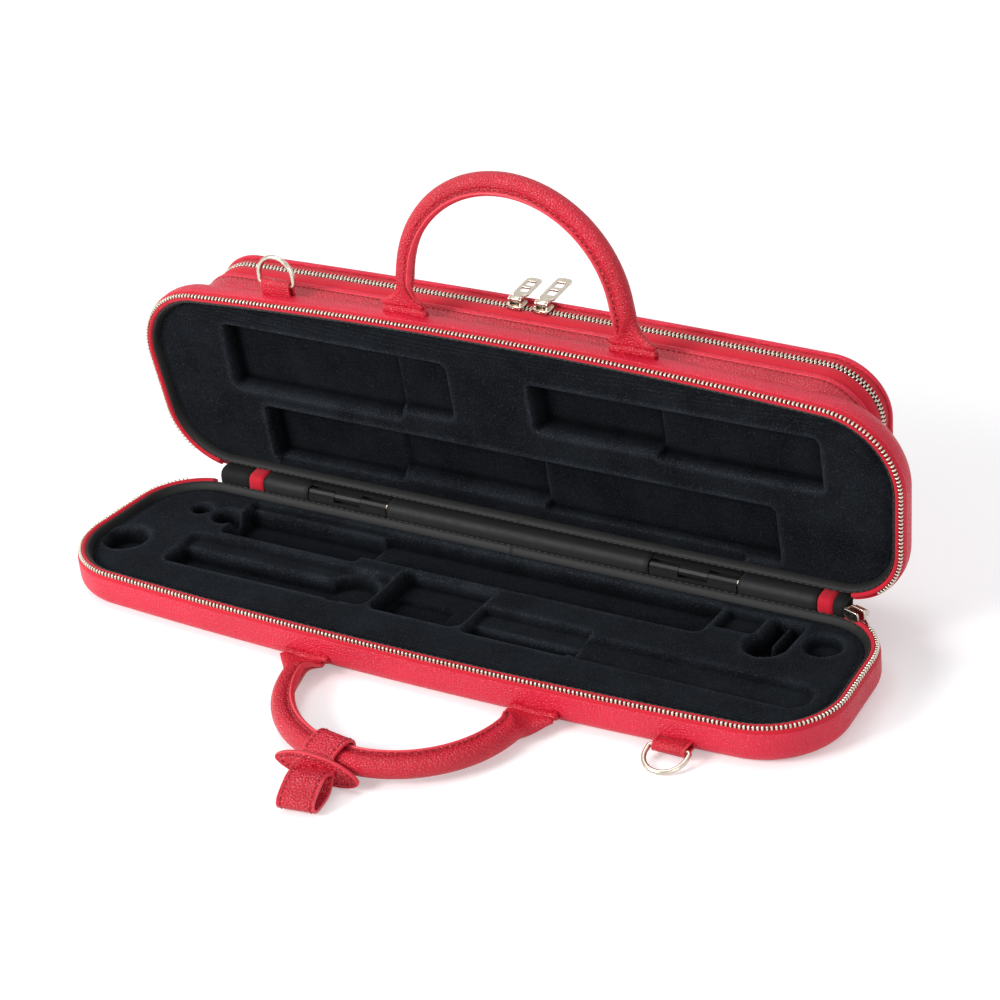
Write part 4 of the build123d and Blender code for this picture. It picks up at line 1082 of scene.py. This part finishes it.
def handle_outline(share, y, tube, ears, shown):
    """Section of a handle as (inward, up) pairs: a rolled tube with a sewn welt, open and flat at the foot."""
    wide = tube + (13.0 - tube) * (1 - share) ** ears
    deep = 2.3 + (tube - 2.3) * float(smooth_share(share))
    reach = wide + 2.5 * float(smooth_share(share * 1.4))
    welt = 1.35 * (0.5 + 0.5 * share)
    power = 1 - 0.35 * (1 - share)
    outline = []
    for turn in np.radians(np.linspace(24, 336, 21)):
        cos, sin = math.cos(turn), math.sin(turn)
        outline.append((wide * math.copysign(abs(cos) ** power, cos), deep * math.copysign(abs(sin) ** power, sin)))
    outline += [(wide * 0.90, -welt * 1.12), (reach - 0.5, -welt), (reach, -welt * 0.6), (reach, welt * 0.6), (reach - 0.5, welt), (wide * 0.90, welt * 1.12)]
    outline = np.array(outline)
    if y < 0:
        outline = outline * (1.0 - 0.02 * abs(y) ** 2, math.sqrt(max(1 - (y / 2.25) ** 2, 0.04)))
    hollow = 1 - 0.85 * (1 - share) ** 0.8 * np.exp(-((outline[:, 0] / (0.55 * wide)) ** 2))
    outline[:, 1] = np.where(outline[:, 1] * shown > 0, outline[:, 1] * hollow, outline[:, 1])
    lean = math.radians(42.0) * shown * float(smooth_share(share))
    turn = np.array([[math.cos(lean), math.sin(lean)], [-math.sin(lean), math.cos(lean)]])
    return outline @ turn, reach, welt, turn


def handle_pieces(name, straights, slopes, apex, place, body, tube, ears, shown):
    """Rolled handle with its painted welt edge and the stitches beside it."""
    left = leg_stations(-1, straights[0], slopes[0], apex)
    right = leg_stations(1, straights[1], slopes[1], apex)
    sections, edges, upper, lower = [], [], [], []
    rim = soft_oblong(0.62, 1.0, 0.3)
    for (x, y), (inward_x, inward_y), share, height in left + right[-2::-1]:
        outline, reach, welt, turn = handle_outline(share, height, tube, ears, shown)
        base, flat, lift = np.array([x, y, 0.0]), np.array([inward_x, inward_y, 0.0]), np.array([0.0, 0.0, 1.0])
        sections.append(base + outline[:, :1] * flat + outline[:, 1:] * lift)
        inward = flat * turn[0, 0] + lift * turn[0, 1]
        up = flat * turn[1, 0] + lift * turn[1, 1]
        if height > 1.0:
            edges.append(base + (reach - 0.5 + rim[:, :1]) * inward + rim[:, 1:] * (welt + 0.08) * up)
            upper.append(base + (reach - 1.75) * inward + (welt + 0.06) * up)
            lower.append(base + (reach - 1.75) * inward - (welt + 0.06) * up)
    solid_object(f"{name}_leather", lofted(sections), place, HANDLE_RED, body, (body,))
    solid_object(f"{name}_welt_edge", lofted(edges), place, EDGE_RED, body)
    thread = several([stitches(np.array(line), 2.1, 3.2, 0.26) for line in (upper, lower)])
    solid_object(f"{name}_stitches", thread, place, THREAD_RED, body)


def anchor_form(middle, wall):
    """Gathered leather end where a handle's foot folds, sewn to the wall."""
    sections = []
    for x in np.linspace(-12.4, 12.4, 27):
        share = abs(x) / 12.4
        tall = 1.9 * (0.85 + 0.15 * share**2) * (1.0 if share < 0.99 else 0.9)
        reach = 3.0 * (0.9 + 0.1 * math.cos(x * 1.1) ** 2) * (1 - 0.2 * share**4)
        outline = []
        for turn in np.radians(np.linspace(90, 270, 13)):
            outline.append((middle + x, wall + reach * math.cos(turn), tall * math.sin(turn)))
        outline += [(middle + x, wall + 2.5, -tall * 0.9), (middle + x, wall + 2.5, tall * 0.9)]
        sections.append(np.array(outline))
    return lofted(sections)


def anchors(name, height, place, body):
    """Both ends that hold a handle to the front wall."""
    wall = -57.17
    forms = [anchor_form(HANDLE_X + side * 64.0, wall) for side in (-1, 1)]

    def lifted(points):
        return place(points + (0.0, 0.0, height))

    solid_object(f"{name}_anchor_folds", several(forms), lifted, HANDLE_RED, body, (f"{body}_handle_anchors",))


TRAY_APEX, LID_APEX = (8.005, 68.0), (0.0, 71.996)
handle_pieces("tray_handle", (2.63, 1.89), (16.0, 4.0), TRAY_APEX, on_handle(6.4, 1.8, False), "base_handle", 5.3, 1.6, -1)
handle_pieces("lid_handle_arch", (5.11, 5.11), (9.0, 9.0), LID_APEX, on_handle(12.0, 8.0, True), "lid_handle", 4.7, 4.0, 1)
anchors("tray", 6.4, on_tray, "base")
anchors("lid", 12.0, over_lid, "lid")


# Keeper strap on the tray handle


def on_keeper(points):
    """Points drawn round the tube's axis, put on the tray handle."""
    turned = points @ turn_z(-9.0).T + (-2.895, -67.143, 0.0)
    return turned @ turn_x(-1.8).T + (HANDLE_X, FOOT_Y, 6.4)


def strap_form(path, width, thickness, closed, shrink=0.0):
    """Leather strap whose middle follows a path of (y, z) pairs, its width along X."""
    line = np.column_stack([np.zeros(len(path)), path])
    outline = soft_oblong(thickness / 2, width / 2 - shrink, 0.45)
    sections = tube_sections(line, (1.0, 0.0, 0.0), outline, closed)
    return looped(sections) if closed else lofted(sections)


def strap_edges(path, width, thickness, closed):
    """Painted edges along both sides of a strap."""
    forms = []
    for side in (-1, 1):
        line = np.column_stack([np.full(len(path), side * (width / 2 - 0.18)), path])
        sections = tube_sections(line, (1.0, 0.0, 0.0), soft_oblong(thickness / 2 + 0.05, 0.24, 0.2), closed)
        forms.append(looped(sections) if closed else lofted(sections))
    return several(forms)


def strap_stitches(path, width, thickness, closed, reach=1.9):
    """Stitches along both sides of a strap's outer face."""
    runs = frames(np.column_stack([np.zeros(len(path)), path]), closed)
    outward = np.cross(runs, (1.0, 0.0, 0.0))
    centre = np.array([0.0, *np.mean(path, axis=0)])
    line = np.column_stack([np.zeros(len(path)), path])
    if np.sum((line - centre) * outward) < 0:
        outward = -outward
    forms = []
    for side in (-1, 1):
        thread = line + outward * (thickness / 2 + 0.04) + (side * (width / 2 - reach), 0.0, 0.0)
        forms.append(stitches(thread, 1.9, 2.9, 0.26, closed))
    return several(forms)


def keeper_pieces():
    """Band, loop and neck, and the edges and stitches of the band and loop."""
    width, thick = 18.6, 1.5
    band = smooth_path([(-7.3, 0.0), (-5.2, 5.2), (0.0, 7.3), (4.6, 7.9), (8.0, 6.6), (8.6, 2.6), (7.6, -1.6), (5.0, -5.0), (0.0, -6.8), (-5.2, -5.0)], 7, True)
    half = [(-0.2, 0.85), (-2.0, 1.3), (-4.2, 3.3), (-7.4, 4.9), (-11.0, 5.2), (-15.0, 4.6), (-19.0, 3.7), (-22.0, 2.6), (-23.3, 1.1)]
    loop = smooth_path(half + [(-23.5, 0.0)] + [(y, -z) for y, z in half[::-1]], 5)
    start = np.array([0.0, -10.8 - 1.8 - 0.4, 0.0])

    def loop_place(points):
        tilted = points @ turn_x(13.0).T + start
        return on_keeper(tilted @ turn_z(18.0).T)

    neck = smooth_path([(0.6, 0.75), (-1.5, 0.75), (-4.5, 0.8), (-6.2, 0.8)], 4)
    neck_low = neck * (1.0, -1.0)

    def neck_place(points):
        return on_keeper((points + (0.0, -7.6, 0.0)) @ turn_z(18.0).T)

    solid_object("keeper_band", strap_form(band, width, thick, True), on_keeper, PEBBLED_RED, "keeper", ("keeper_strap",))
    solid_object("keeper_band_edges", strap_edges(band, width, thick, True), on_keeper, EDGE_RED, "keeper")
    solid_object("keeper_band_stitches", strap_stitches(band, width, thick, True), on_keeper, THREAD_RED, "keeper")
    solid_object("keeper_loop", strap_form(loop, width, thick, False), loop_place, PEBBLED_RED, "keeper")
    solid_object("keeper_loop_edges", strap_edges(loop, width, thick, False), loop_place, EDGE_RED, "keeper")
    solid_object("keeper_loop_stitches", strap_stitches(loop, width, thick, False), loop_place, THREAD_RED, "keeper")
    straps = several([strap_form(neck, width - 0.4, 1.45, False), strap_form(neck_low, width - 0.4, 1.45, False)])
    solid_object("keeper_neck", straps, neck_place, PEBBLED_RED, "keeper")


def keeper_leaf():
    """Pointed leaf that bows round the handle, with a painted rim."""
    sections, rim = [], []
    stations = 20.6 * np.sin(np.linspace(-math.pi / 2, math.pi / 2, 31))
    for x in stations:
        half = 6.8 * (1 - (abs(x) / 20.9) ** 2.2) ** 0.6
        bow = -11.7 - 0.9 * (x / 21.0) ** 2 + 0.5
        outline = soft_oblong(0.85, half, min(0.4, half * 0.8))
        sections.append(np.column_stack([np.full(len(outline), x), bow + outline[:, 0], outline[:, 1]]))
        rim.append((x, bow, half - 0.25))
    rim = np.array(rim)
    path = np.vstack([rim, (rim * (1, 1, -1))[-2:0:-1]])
    edge = looped(tube_sections(path, (0.0, 1.0, 0.0), soft_oblong(0.32, 0.95, 0.25), True))

    def place(points):
        return on_keeper(points @ turn_y(12.0).T @ turn_z(18.0).T)

    solid_object("keeper_leaf_leather", lofted(sections), place, PEBBLED_RED, "keeper", ("keeper_leaf",))
    solid_object("keeper_leaf_edge", edge, place, EDGE_RED, "keeper")
    thread = stitches(path * (0.9, 1.0, 0.72) + (0.0, -0.9, 0.0), 1.8, 2.8, 0.24, True)
    solid_object("keeper_leaf_stitches", thread, place, THREAD_RED, "keeper")


keeper_pieces()
keeper_leaf()


# Strap rings


def wall_at(x):
    """Front wall's face at a distance along the case."""
    radius = (220.0**2 + 81.0) / 18.0
    return -58.0 + radius - math.sqrt(radius**2 - x**2) + SKIN


def ring_pieces(name, x, height, lean, place, body, ring_body):
    """D-ring and the leather tab that holds it."""
    arch = [(10.4 * math.cos(turn), -4.0 - 10.4 * math.sin(turn)) for turn in np.linspace(0, math.pi, 25)]
    corners = [(-10.4, 0.0), (0.0, 0.0), (10.4, 0.0)] + arch
    radii = [1.7, 0.0, 1.7] + [0.0] * len(arch)
    flat = round_corners(corners, radii, 6)
    path = np.column_stack([flat, np.zeros(len(flat))])
    ring = looped(tube_sections(path, (0.0, 0.0, 1.0), circle(1.25, 14), True))
    bar = np.array([x, wall_at(x) - 5.2, height])

    def ring_place(points):
        return place(points @ turn_x(-lean).T + bar)

    def tab_place(points):
        return place(points + bar)

    solid_object(f"{name}_d_ring", ring, ring_place, NICKEL, ring_body, (ring_body,))
    strap = [(7.0, 2.05), (5.2, 2.05), (2.5, 2.1)]
    strap += [(2.06 * math.cos(turn), 2.06 * math.sin(turn)) for turn in np.radians(np.linspace(90, 270, 13))]
    strap += [(2.5, -2.1), (5.2, -2.05), (7.0, -2.05)]
    strap = np.array(strap)
    solid_object(f"{name}_tab_leather", strap_form(strap, 16.6, 1.35, False), tab_place, HANDLE_RED, body, (f"{body}_ring_tab",))
    solid_object(f"{name}_tab_edges", strap_edges(strap, 16.6, 1.35, False), tab_place, EDGE_RED, body)
    lines = [np.array([(side * 7.0, y, 2.78) for y in np.linspace(0.6, 5.0, 4)]) for side in (-1, 1)]
    lines.append(np.array([(across, 3.4, 2.82) for across in np.linspace(-6.6, 6.6, 6)]))
    solid_object(f"{name}_tab_stitches", several([stitches(line, 1.5, 2.2, 0.22, start=0.3) for line in lines]), tab_place, THREAD_RED, body)


ring_pieces("tray", 149.0, 5.2, -16.05, on_tray, "base", "base_ring")
ring_pieces("lid", -128.5, 13.0, 8.0, over_lid, "lid", "lid_ring")


# Zip sliders and pulls


def upright(form):
    """A plate stood on edge across X."""
    points, faces = form
    return points[:, [2, 0, 1]], faces


def crown_form():
    """Posts and rod that carry a pull."""
    post = round_corners([(-2.6, 2.5), (2.6, 2.5), (1.75, 3.9), (1.6, 5.6), (0.0, 6.6), (-1.6, 5.6), (-1.75, 3.9)], [0, 0, 0.7, 1.0, 0.9, 1.0, 0.7])
    forms = [moved(upright(plate([post], 1.1, 0.25)), (side * 3.2, 0, 0)) for side in (-1, 1)]
    rod = np.array([(x, 0.0, 4.85) for x in (-3.2, 0.0, 3.2)])
    forms.append(lofted(tube_sections(rod, (0, 0, 1), circle(0.8, 10))))
    return forms


def slider_form():
    """Rounded slider plate with lips and crown."""
    outline = round_corners([(-5, -2.7), (0.5, -3.8), (5, -3.8), (5, 3.8), (0.5, 3.8), (-5, 2.7)], [1.5, 1.5, 2.2, 2.2, 1.5, 1.5])
    forms = [moved(plate([outline], 1.3, 0.4), (0, 0, 2.2))]
    for side in (-1, 1):
        lip = np.array([(x, side * (3.35 - 0.25 * (x < 0)), 1.35) for x in (-3.6, 0.0, 3.8)])
        forms.append(lofted(tube_sections(lip, (0, 0, 1), soft_oblong(0.4, 0.62, 0.25))))
    return several(forms + crown_form())


def main_slider_form():
    """Slider of the main zip: two plates joined by a nose."""
    face = round_corners([(-4.5, -3.1), (4.5, -3.1), (4.5, 3.1), (-4.5, 3.1)], [1.4, 1.8, 1.8, 1.4])
    nose = round_corners([(-4.45, -2.9), (-3.2, -2.9), (-3.2, 2.9), (-4.45, 2.9)], 0.3)
    forms = [moved(plate([face], 1.3, 0.4), (0, 0, z)) for z in (2.2, -2.2)]
    forms.append(plate([nose], 3.6, 0.2))
    return several(forms + crown_form())


def pull_form(length):
    """Rounded pull with two windows and an eye."""
    outline = round_corners(
        [(-1.9, 1.0), (1.9, 1.0), (2.0, 2.8), (4.3, 4.9), (4.3, length), (-4.3, length), (-4.3, 4.9), (-2.0, 2.8)],
        [0, 0, 0.9, 1.2, 2.6, 2.6, 1.2, 0.9],
    )
    window = 0.24 * (length - 3.4)
    middle = (3.4 + length) / 2
    outlines = [outline]
    for side in (-1, 1):
        centre = middle + side * window * 0.75
        low, high = centre - window / 2, centre + window / 2
        outlines.append(round_corners([(-2.5, low), (-2.5, high), (2.5, high), (2.5, low)], 0.7, 4))
    eye = []
    for turn in np.linspace(0, 2 * np.pi, 18, endpoint=False):
        outward = np.array([0.0, math.cos(turn), math.sin(turn)])
        ring = soft_oblong(2.5, 0.34, 0.22)
        eye.append(ring[:, :1] * np.array([1.0, 0.0, 0.0]) + (1.3 + ring[:, 1:]) * outward)
    return several([plate(outlines, 1.2, 0.3), looped(eye)])


def on_chain(x):
    """Placing on the pocket's zip at a distance along it."""
    return lambda points: over_lid(points @ turn_x(90.0).T + (x, -51.7, 38.9))


def on_main_zip(points):
    """Placing at the end of the main zip."""
    axes = np.array([[0.946393, -0.323017, 0.0], [0.0, 0.0, -1.0], [0.323017, 0.946393, 0.0]])
    return points @ axes + (188.158, 53.745, 21.8)


def raised_rod(form):
    """A pull moved to its slider's rod."""
    return moved(form, (0.0, 0.0, 4.85))


for side, x, length in (("left", -3.5, 20.0), ("right", 11.5, 24.0)):
    solid_object(f"pocket_zip_slider_{side}", slider_form(), on_chain(x), NICKEL, f"pocket_slider_{side}", (f"pocket_slider_{side}",))
    solid_object(f"pocket_zip_pull_{side}", raised_rod(pull_form(length)), on_chain(x), NICKEL, f"pocket_pull_{side}", (f"pocket_pull_{side}",))
solid_object("main_zip_slider", main_slider_form(), on_main_zip, NICKEL, "main_slider", ("main_slider",))
solid_object("main_zip_pull", raised_rod(pull_form(16.0)), on_main_zip, NICKEL, "main_pull", ("main_pull",))


# Solids that keep their shape

dress(BLACK_PLATE, "base_hinge_leaf_left", "base_hinge_leaf_right", "lid_hinge_leaf_left", "lid_hinge_leaf_right")
dress(NICKEL, "hinge_pin_left", "hinge_pin_right")


# Floor, light and camera


def make_floor():
    """Pale floor that shows white to the eye and to reflections and keeps the shadow."""
    half = 6.0
    mesh = bpy.data.meshes.new("floor")
    corners = [(-half, -half, -0.0002), (half, -half, -0.0002), (half, half, -0.0002), (-half, half, -0.0002)]
    mesh.from_pydata(corners, [], [(0, 1, 2, 3)])
    floor = bpy.data.objects.new("floor", mesh)
    bpy.context.scene.collection.objects.link(floor)
    finish = Finish("pale_floor")
    finish.link(finish.ramp(finish.noise(8.0), [(0.0, (0.86, 0.86, 0.87)), (1.0, (0.9, 0.9, 0.9))]), finish.shader.inputs["Base Color"])
    finish.set(Roughness=0.9, Specular_IOR_Level=0.1)
    glow = finish.add("ShaderNodeEmission")
    rays = finish.add("ShaderNodeLightPath")
    seen = finish.math("MAXIMUM", rays.outputs["Is Camera Ray"], rays.outputs["Is Glossy Ray"])
    finish.link(finish.math("MULTIPLY", seen, 0.30), glow.inputs["Strength"])
    both = finish.add("ShaderNodeAddShader")
    finish.link(finish.shader.outputs["BSDF"], both.inputs[0])
    finish.link(glow.outputs["Emission"], both.inputs[1])
    finish.link(both.outputs["Shader"], finish.tree.nodes["Material Output"].inputs["Surface"])
    mesh.materials.append(finish.material)


def make_world():
    """Even studio light, white to the eye."""
    world = bpy.data.worlds.new("studio")
    bpy.context.scene.world = world
    world.use_nodes = True
    tree = world.node_tree
    background = tree.nodes["Background"]
    background.inputs["Color"].default_value = (0.96, 0.98, 1.0, 1.0)
    background.inputs["Strength"].default_value = 0.48
    seen = tree.nodes.new("ShaderNodeBackground")
    seen.inputs["Color"].default_value = (1.0, 1.0, 1.0, 1.0)
    seen.inputs["Strength"].default_value = 1.0
    rays = tree.nodes.new("ShaderNodeLightPath")
    either = tree.nodes.new("ShaderNodeMath")
    either.operation = "MAXIMUM"
    clear = tree.nodes.new("ShaderNodeMath")
    clear.operation = "MAXIMUM"
    tree.links.new(rays.outputs["Is Camera Ray"], either.inputs[0])
    tree.links.new(rays.outputs["Is Glossy Ray"], either.inputs[1])
    tree.links.new(either.outputs["Value"], clear.inputs[0])
    tree.links.new(rays.outputs["Is Transmission Ray"], clear.inputs[1])
    mix = tree.nodes.new("ShaderNodeMixShader")
    tree.links.new(clear.outputs["Value"], mix.inputs[0])
    tree.links.new(background.outputs["Background"], mix.inputs[1])
    tree.links.new(seen.outputs["Background"], mix.inputs[2])
    tree.links.new(mix.outputs["Shader"], tree.nodes["World Output"].inputs["Surface"])


def area_light(name, place, aim, size, power):
    """Soft square lamp pointed at a place."""
    lamp = bpy.data.lights.new(name, "AREA")
    lamp.shape = "RECTANGLE"
    lamp.size, lamp.size_y = size
    lamp.energy = power
    holder = bpy.data.objects.new(name, lamp)
    bpy.context.scene.collection.objects.link(holder)
    holder.location = place
    holder.rotation_euler = (Vector(aim) - Vector(place)).to_track_quat("-Z", "Y").to_euler()


def make_camera():
    """Camera at the photograph's angle."""
    azimuth, elevation, roll = math.radians(34.18), math.radians(28.62), math.radians(-6.21)
    distance, target = 1.4699, Vector((0.01956, 0.01817, 0.06741))
    back = Vector((math.sin(azimuth) * math.cos(elevation), -math.cos(azimuth) * math.cos(elevation), math.sin(elevation)))
    right = (-back).cross(Vector((0, 0, 1))).normalized()
    up = right.cross(-back)
    turned_right = right * math.cos(roll) + up * math.sin(roll)
    turned_up = up * math.cos(roll) - right * math.sin(roll)
    camera = bpy.data.cameras.new("camera")
    camera.sensor_width = 36.0
    camera.lens = 3058.9 / 1000 * 36.0
    camera.clip_end = 20.0
    holder = bpy.data.objects.new("camera", camera)
    bpy.context.scene.collection.objects.link(holder)
    turn = Matrix((turned_right, turned_up, back)).transposed().to_4x4()
    holder.matrix_world = Matrix.Translation(target + back * distance) @ turn
    bpy.context.scene.camera = holder


make_camera()
make_floor()
make_world()
area_light("key", (-1.0, -1.5, 1.0), (0.0, 0.0, 0.05), (0.9, 0.7), 34.0)
area_light("top", (-0.5, 0.2, 1.9), (0.0, 0.0, 0.05), (0.9, 0.9), 9.0)
area_light("right", (1.5, -1.2, 0.8), (0.0, 0.0, 0.05), (0.8, 0.8), 7.0)
bpy.context.scene.view_settings.view_transform = "Standard"
